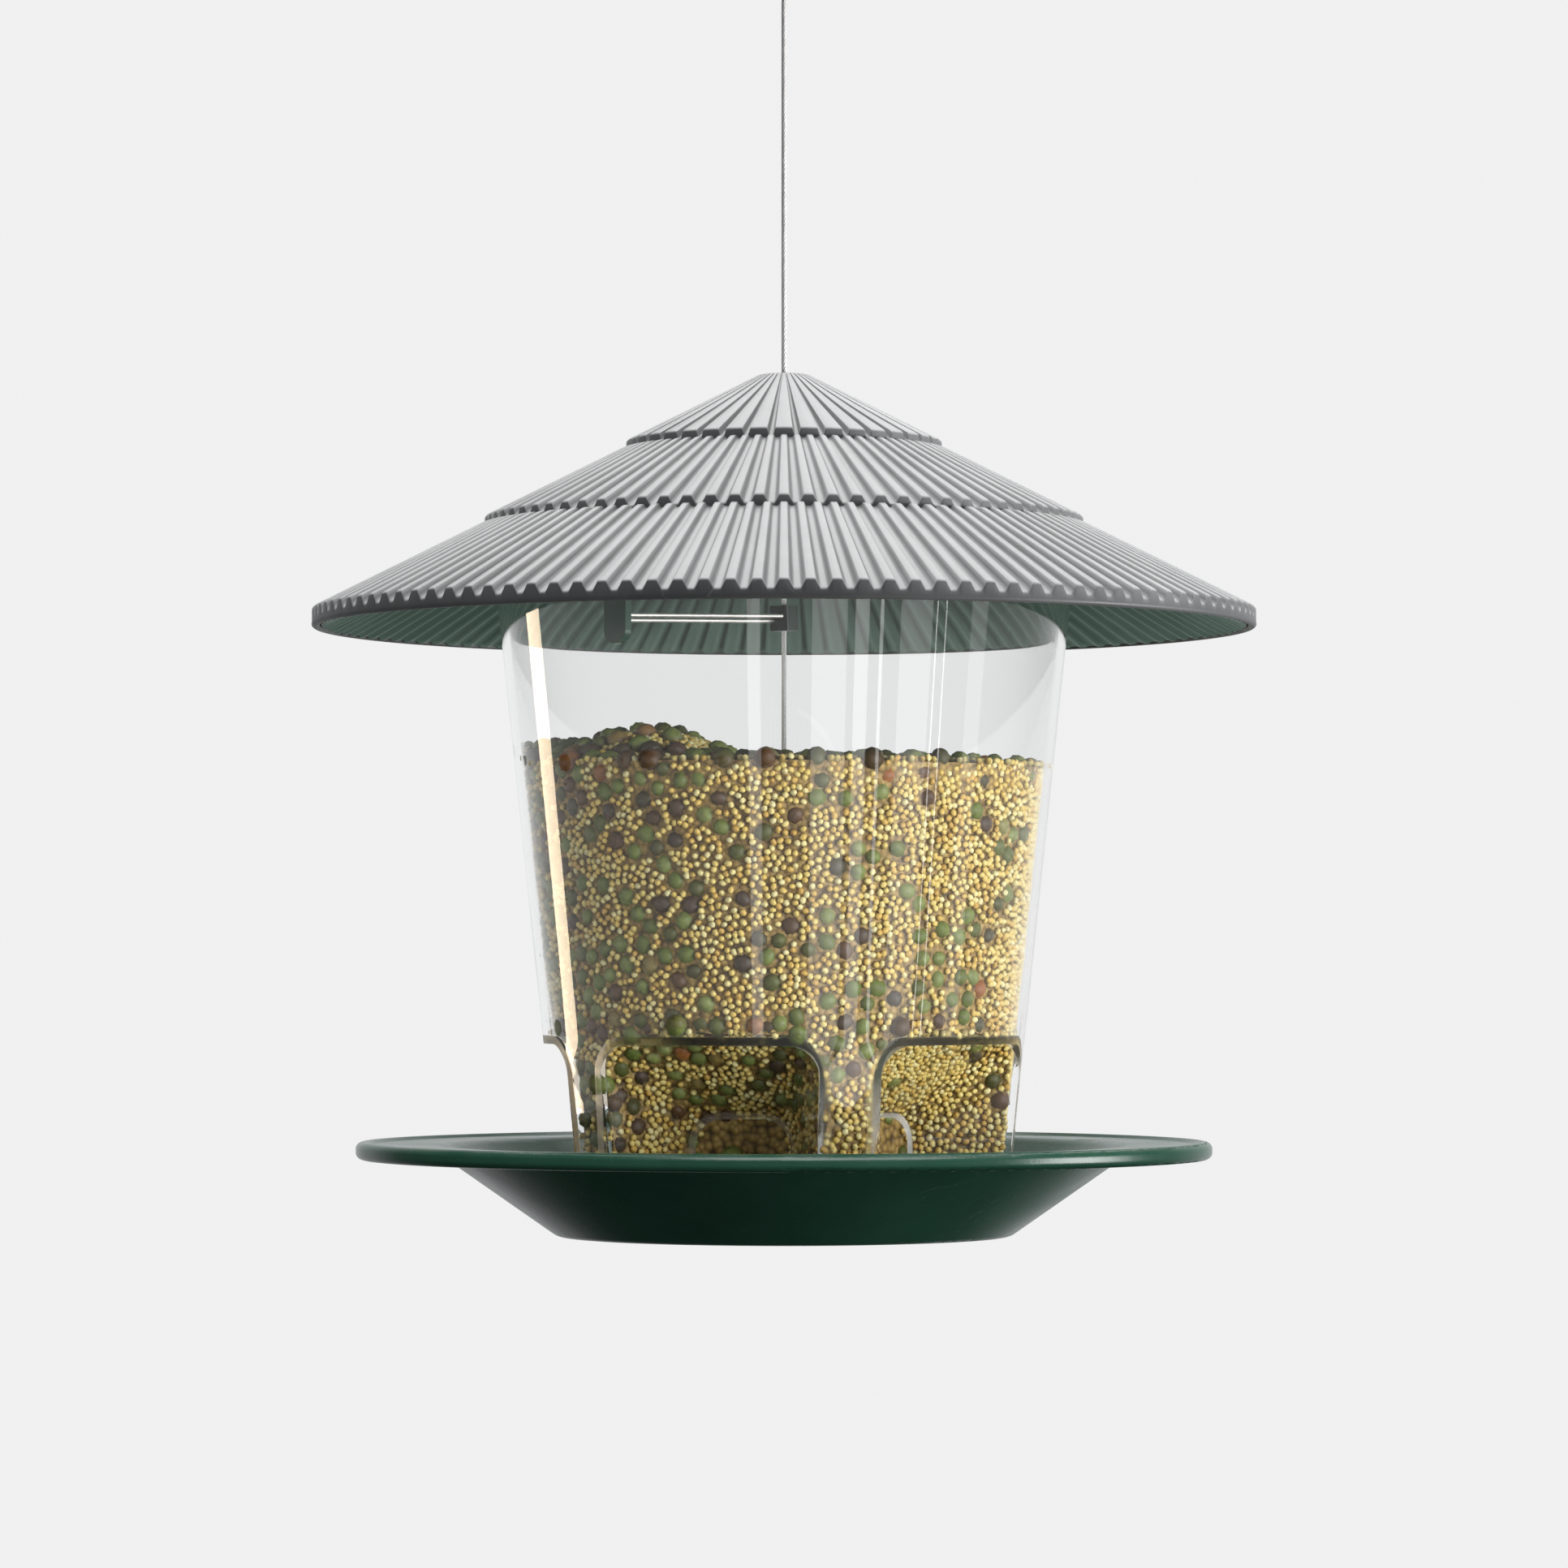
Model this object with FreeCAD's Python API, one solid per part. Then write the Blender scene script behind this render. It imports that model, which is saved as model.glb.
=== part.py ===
import FreeCAD, Part
import math
import os

os.makedirs("parts", exist_ok=True)

# Hanging bird feeder: a ribbed three-tier roof over a clear tapered reservoir of seed,
# standing in a dished tray, all hung on one steel cable that rises from under the tray.
# Millimetres. +Z is up. The origin is the centre of the hanging eye at the top of the cable.
# Heights in the tables below are measured up from the foot of the tray.

# ---------------------------------------------------------------- driving dimensions
# Cable and its fittings
CABLE_R = 0.75
CABLE_CLEAR = 112.0          # free cable from the roof's apex to the top ferrule
GUIDE_CLEARANCE = 0.10       # radial gap round the cable where a piece only guides it
FERRULE_LEN = 12.0
FERRULE_WALL = 0.9
EYE_DROP = 22.0              # eye centre down to the ferrule's top
EYE_BORE_R = 7.0
EYE_WIDTH = 3.6
EYE_GROOVE_WALL = 1.2
EYE_GROOVE_GAP = 0.05        # cable to the groove's wall
EYE_GROOVE_LIP = 0.4         # groove's rim beyond the middle of the cable
MOUTH_BEND_R = 7.5           # bend of each cable leg where it leaves the ferrule
STOP_R = 2.2
STOP_LEN = 9.0
STOP_TAIL = 0.7              # cable end left standing out of the stop
WASHER_R = 5.0
WASHER_T = 1.2

# Tray
TRAY_R = 122.2
TRAY_FOOT_MARGIN = 1.5       # reservoir's foot to where the dish's slope would meet the ground
TRAY_WALL = 2.6
TRAY_FLOOR_TOP = 3.5
TRAY_RECESS = 1.0            # underside of the floor inside the foot ring
FOOT_RING_W = 8.5
FLANGE_TOP = 26.2
FLANGE_W = 23.6              # tray rim in to the top of the dish's slope, on the underside
LIP_W = 4.6
LIP_T = 4.9
LIP_RISE = 0.8
CONE_MARGIN = 6.5            # feed holes in to the foot of the seed deflector
CONE_TOP_R = 7.5
CONE_TOP = 18.5

# Reservoir
RES_FOOT_R = 63.3            # outer radius on the tray floor
RES_TOP = 198.0
RES_TAPER = 0.106            # radius gained per millimetre of height
RES_WALL = 2.4
TAB_W = 8.0
TAB_DEPTH = 2.7
TAB_CLEARANCE = 0.15

# Feeding ports: funnel-shaped alcoves that narrow inwards to a feed hole
PORT_COUNT = 5
PORT_START = -20.2           # first port, degrees from the front towards +X
PORT_HALF_W = 32.4
PORT_TOP = 55.0
PORT_CORNER_R = 8.3
PORT_LEG_INSET = 1.0         # arch plane inside the wall where its legs stand
HOLE_HALF_W = 14.2
HOLE_TOP = 34.0
HOLE_CORNER_R = 8.0
HOLE_U = 33.5                # distance from the axis to the feed hole

# Roof
ROOF_R = 135.0
ROOF_APEX_R = 7.25
ROOF_SLOPE = math.radians(26.8)
TIER_R = (45.3, 85.8, ROOF_R)
TIER_STEP = 1.6
TIER_RIBS = (40, 80, 120)
TIER_GROOVE = (0.30, 0.56, 0.56)        # share of the rib pitch that is groove, at its mouth
TIER_GROOVE_FLOOR = (0.16, 0.20, 0.20)  # share of the pitch at the groove's floor
RIB_DEPTH = 2.4
SHELL_WALL = 2.0
RIM_HEIGHT = 5.4             # crest to bottom edge at the eaves
RIM_WALL = 2.4
LINER_GAP = 0.2
LINER_WALL = 1.5
LINER_CORE_EXTRA = 0.8       # thicker liner inside the seat
SEAT_CLEARANCE = 0.3         # roof seat above the reservoir's rim
SEAT_W = 9.0
SEAT_OVERHANG = 0.8
SEAT_DEPTH = 1.4             # seat below the liner's cone at its outer edge

# Bush at the apex, on which the roof turns and which slides on the cable
BUSH_R = 3.0
BUSH_FLANGE_R = 4.6
BUSH_FLANGE_T = 1.1
TURN_CLEARANCE = 0.06
BUSH_END_PLAY = 0.1

# Roof lock: a tongue inside the reservoir, a hairpin spring and a grip on the cable
LOCK_ANGLE = -36.6           # degrees from the front towards +X
TONGUE_W = 7.4
TONGUE_T = 2.5
TONGUE_LEN = 32.3
TONGUE_GAP = 0.7             # tongue to the reservoir's wall
SPRING_WIRE_R = 0.6
SPRING_ABOVE_TIP = 7.4       # spring's bend above the tongue's tip
SPRING_CLIMB = math.radians(2.65)  # slope of the spring from its bend up to the cable
SPRING_LEG_RISE = 0.65       # each leg above or below the spring's middle
SPRING_LEG_SIDE = 1.6        # each leg to the side of the spring's middle
GRIP_HALF_W = 3.2
GRIP_HALF_H = 3.6
GRIP_CLEARANCE = 0.35

# Seed
SEED_BELOW_RIM = 63.5
SEED_GAP = 0.4               # seed to the walls round it
HEAPS = (                    # centre to the right and back, radius, rise above the level
    (-38.0, -24.0, 27.0, 9.0),
    (-60.0, 6.0, 34.0, 6.0),
    (64.0, 8.0, 42.0, 4.5),
)
SPILL_PEAK = 27.0
SPILL_SLOPE = math.radians(38.0)

# ---------------------------------------------------------------- derived places
def res_radius(height):
    """Outer radius of the reservoir at a height above the tray foot."""
    return RES_FOOT_R + RES_TAPER * (height - TRAY_FLOOR_TOP)


def roof_fall(radius):
    """Fall of the roof's rib crests from the apex to a radius, tier steps included."""
    steps = sum(1 for edge in TIER_R[:-1] if radius > edge)
    return max(radius - ROOF_APEX_R, 0.0) * math.tan(ROOF_SLOPE) + steps * TIER_STEP


# Roof, stacked up from its seat on the reservoir
SHELL_DROP = RIB_DEPTH + SHELL_WALL
LINER_DROP = SHELL_DROP + LINER_GAP
LINER_UNDER_DROP = LINER_DROP + LINER_WALL / math.cos(ROOF_SLOPE)
LINER_R = ROOF_R - RIM_WALL - LINER_GAP
SEAT_BOTTOM = RES_TOP + SEAT_CLEARANCE
SEAT_OUT = res_radius(RES_TOP) + SEAT_OVERHANG
SEAT_IN = SEAT_OUT - SEAT_W
ROOF_APEX = SEAT_BOTTOM + SEAT_DEPTH + LINER_UNDER_DROP + roof_fall(SEAT_OUT)
BUSH_SEAT = ROOF_APEX - LINER_UNDER_DROP - 2.0

# Cable fittings
EYE_HEIGHT = ROOF_APEX + CABLE_CLEAR + FERRULE_LEN + EYE_DROP
CABLE_LOOP_R = EYE_BORE_R + EYE_GROOVE_WALL + CABLE_R + EYE_GROOVE_GAP
CABLE_PITCH = 2 * CABLE_R + 0.1
FERRULE_TOP = EYE_HEIGHT - EYE_DROP
FERRULE_BOTTOM = FERRULE_TOP - FERRULE_LEN
CONE_UNDER = CONE_TOP - TRAY_WALL - 0.4
STOP_TOP = CONE_UNDER - WASHER_T

# Tray
TRAY_FOOT_R = RES_FOOT_R + TRAY_FOOT_MARGIN
FLANGE_BOTTOM = FLANGE_TOP - TRAY_WALL
UNDER_RIM_R = TRAY_R - FLANGE_W
DISH_SLOPE = math.atan(FLANGE_BOTTOM / (UNDER_RIM_R - TRAY_FOOT_R))
SLOPE_LIFT = TRAY_WALL / math.cos(DISH_SLOPE)
CONE_FOOT_R = HOLE_U - CONE_MARGIN

# Ports, roof lock and seed
PORT_LEG_U = math.sqrt(res_radius(PORT_TOP) ** 2 - PORT_HALF_W ** 2) - PORT_LEG_INSET
TONGUE_BOTTOM = SEAT_BOTTOM - TONGUE_LEN
TONGUE_INNER = res_radius(TONGUE_BOTTOM) - RES_WALL - TONGUE_GAP - TONGUE_T
SPRING_HEIGHT = TONGUE_BOTTOM + SPRING_ABOVE_TIP
SPRING_HALF_GAP = math.hypot(SPRING_LEG_RISE, SPRING_LEG_SIDE)
SPRING_BEND_U = TONGUE_INNER - SPRING_WIRE_R - SPRING_HALF_GAP
SEED_TOP = RES_TOP - SEED_BELOW_RIM


def crest(radius):
    """Height of the roof's rib crests at a radius."""
    return ROOF_APEX - roof_fall(radius)


# ---------------------------------------------------------------- helpers
def up(height):
    """Frame Z of a height above the tray foot."""
    return height - EYE_HEIGHT


def rounded_face(corners):
    """Face in the XZ plane through (radius, height, rounding) corners."""
    points = [FreeCAD.Vector(r, 0, up(h)) for r, h, _ in corners]
    starts = []
    edges = []
    for i, (_, _, rounding) in enumerate(corners):
        here = points[i]
        if rounding == 0:
            starts.append((here, here))
            continue
        to_last = (points[i - 1] - here).normalize()
        to_next = (points[(i + 1) % len(points)] - here).normalize()
        half = to_last.getAngle(to_next) / 2
        inward = (to_last + to_next).normalize()
        centre = here + inward * (rounding / math.sin(half))
        first = here + to_last * (rounding / math.tan(half))
        last = here + to_next * (rounding / math.tan(half))
        edges.append(Part.Arc(first, centre - inward * rounding, last).toShape())
        starts.append((first, last))
    for i in range(len(starts)):
        leave = starts[i][1]
        arrive = starts[(i + 1) % len(starts)][0]
        if leave.distanceToPoint(arrive) > 1e-6:
            edges.append(Part.makeLine(leave, arrive))
    return Part.Face(Part.Wire(Part.__sortEdges__(edges)))


def turned(corners):
    """Solid of revolution about the cable's axis."""
    return rounded_face(corners).revolve(FreeCAD.Vector(), FreeCAD.Vector(0, 0, 1), 360)


def rod(radius, bottom, top):
    """Upright cylinder on the cable's axis between two heights."""
    return Part.makeCylinder(radius, top - bottom, FreeCAD.Vector(0, 0, up(bottom)))


def block(low, high):
    """Box between two (u, v, height) corners."""
    size = [high[i] - low[i] for i in range(3)]
    return Part.makeBox(*size, FreeCAD.Vector(low[0], low[1], up(low[2])))


def faced(shape, angle):
    """Turn a shape built along +X so that it points at an angle from the front."""
    copy = shape.copy()
    copy.rotate(FreeCAD.Vector(), FreeCAD.Vector(0, 0, 1), angle - 90)
    return copy


def port_angles():
    return [PORT_START + i * 360.0 / PORT_COUNT for i in range(PORT_COUNT)]


def leg_angles():
    return [angle + 180.0 / PORT_COUNT for angle in port_angles()]


def sweep(edges, radius):
    """Round tube of a radius along tangent edges."""
    path = Part.Wire(edges)
    start = path.Edges[0].valueAt(path.Edges[0].FirstParameter)
    heading = path.Edges[0].tangentAt(path.Edges[0].FirstParameter)
    section = Part.Wire(Part.makeCircle(radius, start, heading))
    tube = path.makePipeShell([section], True, True)
    expected = math.pi * radius ** 2 * path.Length
    print("tube length %.1f, volume / expected %.4f" % (path.Length, tube.Volume / expected))
    return tube


# ---------------------------------------------------------------- tray
def tray():
    run = 1.0 / math.tan(DISH_SLOPE)
    dish_foot = TRAY_FOOT_R + (TRAY_FLOOR_TOP - SLOPE_LIFT) * run
    dish_rim = TRAY_FOOT_R + (FLANGE_TOP - SLOPE_LIFT) * run
    lip_in = TRAY_R - LIP_W
    lip_top = FLANGE_TOP + LIP_RISE
    foot_in = TRAY_FOOT_R - FOOT_RING_W
    hole = CABLE_R + GUIDE_CLEARANCE
    body = turned([
        (hole, CONE_TOP, 0),
        (CONE_TOP_R, CONE_TOP, 1.5),
        (CONE_FOOT_R, TRAY_FLOOR_TOP, 3),
        (dish_foot, TRAY_FLOOR_TOP, 1),
        (dish_rim, FLANGE_TOP, 7),
        (lip_in, FLANGE_TOP, 0),
        (lip_in + 1.2, lip_top, 0.9),
        (TRAY_R, lip_top, 2),
        (TRAY_R, lip_top - LIP_T, 2),
        (lip_in, lip_top - LIP_T, 0.8),
        (lip_in, FLANGE_BOTTOM, 0.4),
        (UNDER_RIM_R, FLANGE_BOTTOM, 4),
        (TRAY_FOOT_R, 0, 5),
        (foot_in, 0, 0.4),
        (foot_in, TRAY_RECESS, 0.4),
        (CONE_FOOT_R - 3, TRAY_RECESS, 2),
        (CONE_TOP_R - 1.7, CONE_UNDER, 1),
        (hole, CONE_UNDER, 0),
    ])
    return body.cut([faced(tab(TAB_CLEARANCE), angle) for angle in leg_angles()])


def tab(grow):
    """Tab under a reservoir leg, grown all round to make its slot in the tray."""
    outer = RES_FOOT_R - 0.3
    inner = outer - RES_WALL + 0.6
    half = TAB_W / 2 + grow
    bottom = TRAY_FLOOR_TOP - TAB_DEPTH - 10 * grow
    top = TRAY_FLOOR_TOP + (0.5 if grow else 0.0)
    return block((inner - grow, -half, bottom), (outer + grow, half, top))


# ---------------------------------------------------------------- reservoir
def arch(u, half_width, top, corner, bottom):
    """Closed arch outline in the plane at distance u from the axis."""
    def at(v, h):
        return FreeCAD.Vector(u, v, up(h))

    slant = corner * (1 - math.sqrt(0.5))
    shoulder = half_width - corner
    lines = [
        Part.makeLine(at(-half_width, bottom), at(half_width, bottom)),
        Part.makeLine(at(half_width, bottom), at(half_width, top - corner)),
        Part.Arc(at(half_width, top - corner), at(half_width - slant, top - slant),
                 at(shoulder, top)).toShape(),
        Part.makeLine(at(shoulder, top), at(-shoulder, top)),
        Part.Arc(at(-shoulder, top), at(-half_width + slant, top - slant),
                 at(-half_width, top - corner)).toShape(),
        Part.makeLine(at(-half_width, top - corner), at(-half_width, bottom)),
    ]
    return Part.Wire(lines)


def funnel(grow, inner_u, bottom):
    """Space of one alcove, grown all round, from the feed hole out past the wall."""
    hole = (HOLE_HALF_W + grow, HOLE_TOP + grow, HOLE_CORNER_R + grow, bottom)
    mouth = (PORT_HALF_W + grow, PORT_TOP + grow, PORT_CORNER_R + grow, bottom)
    stations = [arch(HOLE_U, *hole), arch(PORT_LEG_U, *mouth), arch(ROOF_R, *mouth)]
    if inner_u < HOLE_U:
        stations.insert(0, arch(inner_u, *hole))
    return Part.makeLoft(stations, True, True)


def tapered(inset, bottom, top):
    """Solid cone that lies a given distance inside the reservoir's outer face."""
    return Part.makeCone(res_radius(bottom) - inset, res_radius(top) - inset, top - bottom,
                         FreeCAD.Vector(0, 0, up(bottom)))


def reservoir():
    outer = tapered(0, TRAY_FLOOR_TOP, RES_TOP)
    wall = outer.cut(tapered(RES_WALL, TRAY_FLOOR_TOP, RES_TOP))
    skins = [faced(funnel(RES_WALL, HOLE_U, TRAY_FLOOR_TOP), a) for a in port_angles()]
    spaces = [faced(funnel(0, HOLE_U - 2, TRAY_FLOOR_TOP - 1), a) for a in port_angles()]
    tabs = [faced(tab(0), a) for a in leg_angles()]
    body = wall.fuse([skin.common(outer) for skin in skins] + tabs).cut(spaces)
    return body.removeSplitter()


# ---------------------------------------------------------------- roof
def groove(tier, index):
    """One groove between two ribs: a slim pyramid whose tip is on the axis."""
    ribs = TIER_RIBS[tier]
    outer = TIER_R[tier] + 1.0
    inner = (ROOF_APEX_R + 1.0) if tier == 0 else TIER_R[tier - 1] + 0.02
    pitch = 2 * math.pi / ribs
    tip = crest(TIER_R[tier]) + TIER_R[tier] * math.tan(ROOF_SLOPE)
    side = (TIER_GROOVE[tier] - TIER_GROOVE_FLOOR[tier]) / 2
    above = 0.4
    reach = TIER_R[tier]
    wide = pitch * (TIER_GROOVE[tier] / 2 + side * above / RIB_DEPTH)
    narrow = pitch * TIER_GROOVE_FLOOR[tier] / 2

    def ring(radius):
        share = radius / reach
        top = tip - radius * math.tan(ROOF_SLOPE) + above * share
        floor = tip - radius * math.tan(ROOF_SLOPE) - RIB_DEPTH * share
        return [FreeCAD.Vector(radius, -wide * radius, up(top)),
                FreeCAD.Vector(radius, wide * radius, up(top)),
                FreeCAD.Vector(radius, narrow * radius, up(floor)),
                FreeCAD.Vector(radius, -narrow * radius, up(floor))]

    near = ring(inner)
    far = ring(outer)
    faces = [Part.Face(Part.makePolygon(near + near[:1])), Part.Face(Part.makePolygon(far + far[:1]))]
    for i in range(4):
        j = (i + 1) % 4
        faces.append(Part.Face(Part.makePolygon([near[i], near[j], far[j], far[i], near[i]])))
    return faced(Part.makeSolid(Part.makeShell(faces)), 360.0 * (index + 0.5) / ribs)


def roof_shell():
    just = 1e-4
    bore = BUSH_R + TURN_CLEARANCE
    well = BUSH_FLANGE_R + BUSH_END_PLAY
    ledge = ROOF_APEX - BUSH_FLANGE_T - BUSH_END_PLAY
    corners = [(bore, ROOF_APEX - SHELL_DROP, 0), (bore, ledge, 0), (well, ledge, 0),
               (well, ROOF_APEX, 0),
               (ROOF_APEX_R, ROOF_APEX, 0)]
    for edge in TIER_R[:-1]:
        corners += [(edge, crest(edge), 0.3), (edge, crest(edge + just), 0)]
    rim_in = ROOF_R - RIM_WALL
    rim_bottom = crest(ROOF_R) - RIM_HEIGHT
    corners += [(ROOF_R, crest(ROOF_R), 0.5), (ROOF_R, rim_bottom, 1.0),
                (rim_in, rim_bottom, 1.0), (rim_in, crest(rim_in) - SHELL_DROP, 0)]
    for edge in reversed(TIER_R[:-1]):
        corners += [(edge, crest(edge + just) - SHELL_DROP, 0), (edge, crest(edge) - SHELL_DROP, 0)]
    corners.append((ROOF_APEX_R, ROOF_APEX - SHELL_DROP, 0))
    shell = turned(corners)
    grooves = [groove(tier, i) for tier in range(3) for i in range(TIER_RIBS[tier])]
    return shell.cut(grooves)


def roof_liner():
    """Inner moulding of the roof, with the flat seat that rests on the reservoir."""
    just = 1e-4
    bore = BUSH_R + TURN_CLEARANCE
    top = [(bore, ROOF_APEX - LINER_DROP, 0), (ROOF_APEX_R, ROOF_APEX - LINER_DROP, 0)]
    for edge in TIER_R[:-1]:
        top += [(edge - LINER_GAP, crest(edge) - LINER_DROP, 0),
                (edge - LINER_GAP, crest(edge + just) - LINER_DROP, 0)]
    top.append((LINER_R, crest(LINER_R) - LINER_DROP, 0))
    eaves = crest(LINER_R) - LINER_UNDER_DROP
    under = [(LINER_R, eaves, 0),
             (SEAT_OUT, eaves + (LINER_R - SEAT_OUT) * math.tan(ROOF_SLOPE), 0),
             (SEAT_OUT, SEAT_BOTTOM, 0),
             (SEAT_IN, SEAT_BOTTOM, 0),
             (SEAT_IN, crest(SEAT_IN) - LINER_UNDER_DROP - LINER_CORE_EXTRA, 0),
             (ROOF_APEX_R, BUSH_SEAT, 0),
             (bore, BUSH_SEAT, 0)]
    return turned(top + under)


def roof_bush():
    bottom = BUSH_SEAT - BUSH_END_PLAY
    hole = CABLE_R + GUIDE_CLEARANCE
    return turned([
        (hole, ROOF_APEX, 0),
        (BUSH_FLANGE_R, ROOF_APEX, 0.3),
        (BUSH_FLANGE_R, ROOF_APEX - BUSH_FLANGE_T, 0),
        (BUSH_R, ROOF_APEX - BUSH_FLANGE_T, 0),
        (BUSH_R, bottom, 0),
        (BUSH_FLANGE_R, bottom, 0),
        (BUSH_FLANGE_R, bottom - BUSH_FLANGE_T, 0.3),
        (hole, bottom - BUSH_FLANGE_T, 0),
    ])


# ---------------------------------------------------------------- roof lock
def lock_tongue():
    half = TONGUE_W / 2

    def at(v, h):
        return FreeCAD.Vector(TONGUE_INNER, v, up(h))

    tip = TONGUE_BOTTOM + half
    outline = Part.Wire([
        Part.makeLine(at(-half, tip), at(-half, SEAT_BOTTOM)),
        Part.makeLine(at(-half, SEAT_BOTTOM), at(half, SEAT_BOTTOM)),
        Part.makeLine(at(half, SEAT_BOTTOM), at(half, tip)),
        Part.Arc(at(half, tip), at(0, TONGUE_BOTTOM), at(-half, tip)).toShape(),
    ])
    return faced(Part.Face(outline).extrude(FreeCAD.Vector(TONGUE_T, 0, 0)), LOCK_ANGLE)


def climbing(shape):
    """Turned about the middle of the spring's bend, so the end at the cable is higher."""
    shape.rotate(FreeCAD.Vector(SPRING_BEND_U, 0, up(SPRING_HEIGHT)), FreeCAD.Vector(0, 1, 0),
                 math.degrees(SPRING_CLIMB))
    return shape


def lock_spring():
    """Hairpin of spring wire: two legs past the cable's sides and a bend at the tongue."""

    def at(u, side):
        return FreeCAD.Vector(u, side * SPRING_LEG_SIDE, up(SPRING_HEIGHT + side * SPRING_LEG_RISE))

    edges = [
        Part.makeLine(at(GRIP_HALF_W, -1), at(SPRING_BEND_U, -1)),
        Part.Arc(at(SPRING_BEND_U, -1), at(SPRING_BEND_U + SPRING_HALF_GAP, 0), at(SPRING_BEND_U, 1)).toShape(),
        Part.makeLine(at(SPRING_BEND_U, 1), at(GRIP_HALF_W, 1)),
    ]
    return faced(climbing(sweep(edges, SPRING_WIRE_R)), LOCK_ANGLE)


def cable_grip():
    """Small block on the spring's end, with a hole that the cable runs through."""
    low = (-GRIP_HALF_W, -GRIP_HALF_W, SPRING_HEIGHT - GRIP_HALF_H)
    high = (GRIP_HALF_W, GRIP_HALF_W, SPRING_HEIGHT + GRIP_HALF_H)
    body = block(low, high)
    upright = [e for e in body.Edges if abs(e.tangentAt(0).z) > 0.9]
    body = climbing(body.makeFillet(1.0, upright))
    climb = SPRING_BEND_U * math.tan(SPRING_CLIMB)
    hole = rod(CABLE_R + GRIP_CLEARANCE, low[2] - 1, high[2] + climb + 1)
    return faced(body.cut(hole), LOCK_ANGLE)


# ---------------------------------------------------------------- seed
def heap(x, y, radius, rise):
    """Cap of a ball on the level seed, kept inside the reservoir's wall."""
    ball = (radius ** 2 + rise ** 2) / (2 * rise)
    place = FreeCAD.Vector(x, y, up(SEED_TOP + rise) - ball)
    return Part.makeSphere(ball, place).common(tapered(RES_WALL + SEED_GAP, SEED_TOP - 1, RES_TOP))


def seed_fill():
    """Seed in the reservoir, with a heap at the front left and low rises at both sides."""
    bottom = TRAY_FLOOR_TOP + SEED_GAP
    level = tapered(RES_WALL + SEED_GAP, bottom, SEED_TOP)
    body = level.fuse([heap(*each) for each in HEAPS]).removeSplitter()
    skins = [faced(funnel(RES_WALL + SEED_GAP, HOLE_U - SEED_GAP, TRAY_FLOOR_TOP - 1), a)
             for a in port_angles()]
    deflector = turned([(0, CONE_TOP + SEED_GAP, 0), (CONE_TOP_R + SEED_GAP, CONE_TOP + SEED_GAP, 0),
                        (CONE_FOOT_R + 2, TRAY_FLOOR_TOP, 0), (0, TRAY_FLOOR_TOP, 0)])
    cable_hole = rod(CABLE_R + SEED_GAP, 0, RES_TOP)
    return body.cut(skins + [deflector, cable_hole])


def seed_spills():
    """Seed that has run out of each feed hole onto the tray floor."""
    floor = TRAY_FLOOR_TOP + 0.05
    length = (SPILL_PEAK - floor) / math.tan(SPILL_SLOPE)
    pile = Part.makeCone(length, 0, SPILL_PEAK - floor, FreeCAD.Vector(HOLE_U - 1, 0, up(floor)))
    inside = funnel(-SEED_GAP, HOLE_U - 2, floor)
    beyond = block((HOLE_U + SEED_GAP, -PORT_HALF_W, floor), (TRAY_R, PORT_HALF_W, PORT_TOP))
    spill = pile.common(inside).common(beyond)
    return Part.makeCompound([faced(spill, a) for a in port_angles()])


# ---------------------------------------------------------------- cable and fittings
def cable():
    """One length: stop, up the axis, round the eye and back into the ferrule."""
    loop = CABLE_LOOP_R
    bottom = STOP_TOP - STOP_LEN - STOP_TAIL

    def leg(side, mouth_x):
        """Bend start, middle and end at the ferrule's mouth, and the tangent point above."""
        mouth = FreeCAD.Vector(mouth_x, 0, -EYE_DROP)
        centre = mouth + FreeCAD.Vector(side * MOUTH_BEND_R, 0, 0)
        # Inner tangent between the bend's circle and the eye's circle
        reach = FreeCAD.Vector() - centre
        swing = math.asin((MOUTH_BEND_R + loop) / reach.Length)
        base = math.atan2(reach.z, reach.x)
        heading = base - side * swing
        along = FreeCAD.Vector(math.cos(heading), 0, math.sin(heading))
        across = FreeCAD.Vector(-along.z, 0, along.x) * side
        end = centre + across * MOUTH_BEND_R
        touch = across * -loop
        middle_way = ((mouth - centre) + (end - centre)).normalize()
        return mouth, centre + middle_way * MOUTH_BEND_R, end, touch

    up_mouth, up_mid, up_end, up_touch = leg(-1, 0.0)
    down_mouth, down_mid, down_end, down_touch = leg(1, CABLE_PITCH)
    edges = [
        Part.makeLine(FreeCAD.Vector(0, 0, up(bottom)), up_mouth),
        Part.Arc(up_mouth, up_mid, up_end).toShape(),
        Part.makeLine(up_end, up_touch),
        Part.Arc(up_touch, FreeCAD.Vector(0, 0, loop), down_touch).toShape(),
        Part.makeLine(down_touch, down_end),
        Part.Arc(down_end, down_mid, down_mouth).toShape(),
        Part.makeLine(down_mouth, FreeCAD.Vector(CABLE_PITCH, 0, up(FERRULE_BOTTOM + 0.5))),
    ]
    print("cable bends: %.1f at the ferrule, %.2f round the eye" % (MOUTH_BEND_R, loop))
    return sweep(edges, CABLE_R)


def top_ferrule():
    """Oval crimp sleeve round both runs of the cable."""
    radius = CABLE_R + FERRULE_WALL
    left = rod(radius, FERRULE_BOTTOM, FERRULE_TOP)
    right = left.copy()
    right.translate(FreeCAD.Vector(CABLE_PITCH, 0, 0))
    corner = FreeCAD.Vector(0, -radius, up(FERRULE_BOTTOM))
    web = Part.makeBox(CABLE_PITCH, 2 * radius, FERRULE_LEN, corner)
    bore = rod(CABLE_R, FERRULE_BOTTOM - 1, FERRULE_TOP + 1)
    second = bore.copy()
    second.translate(FreeCAD.Vector(CABLE_PITCH, 0, 0))
    return left.fuse([right, web]).removeSplitter().cut([bore, second])


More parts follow.
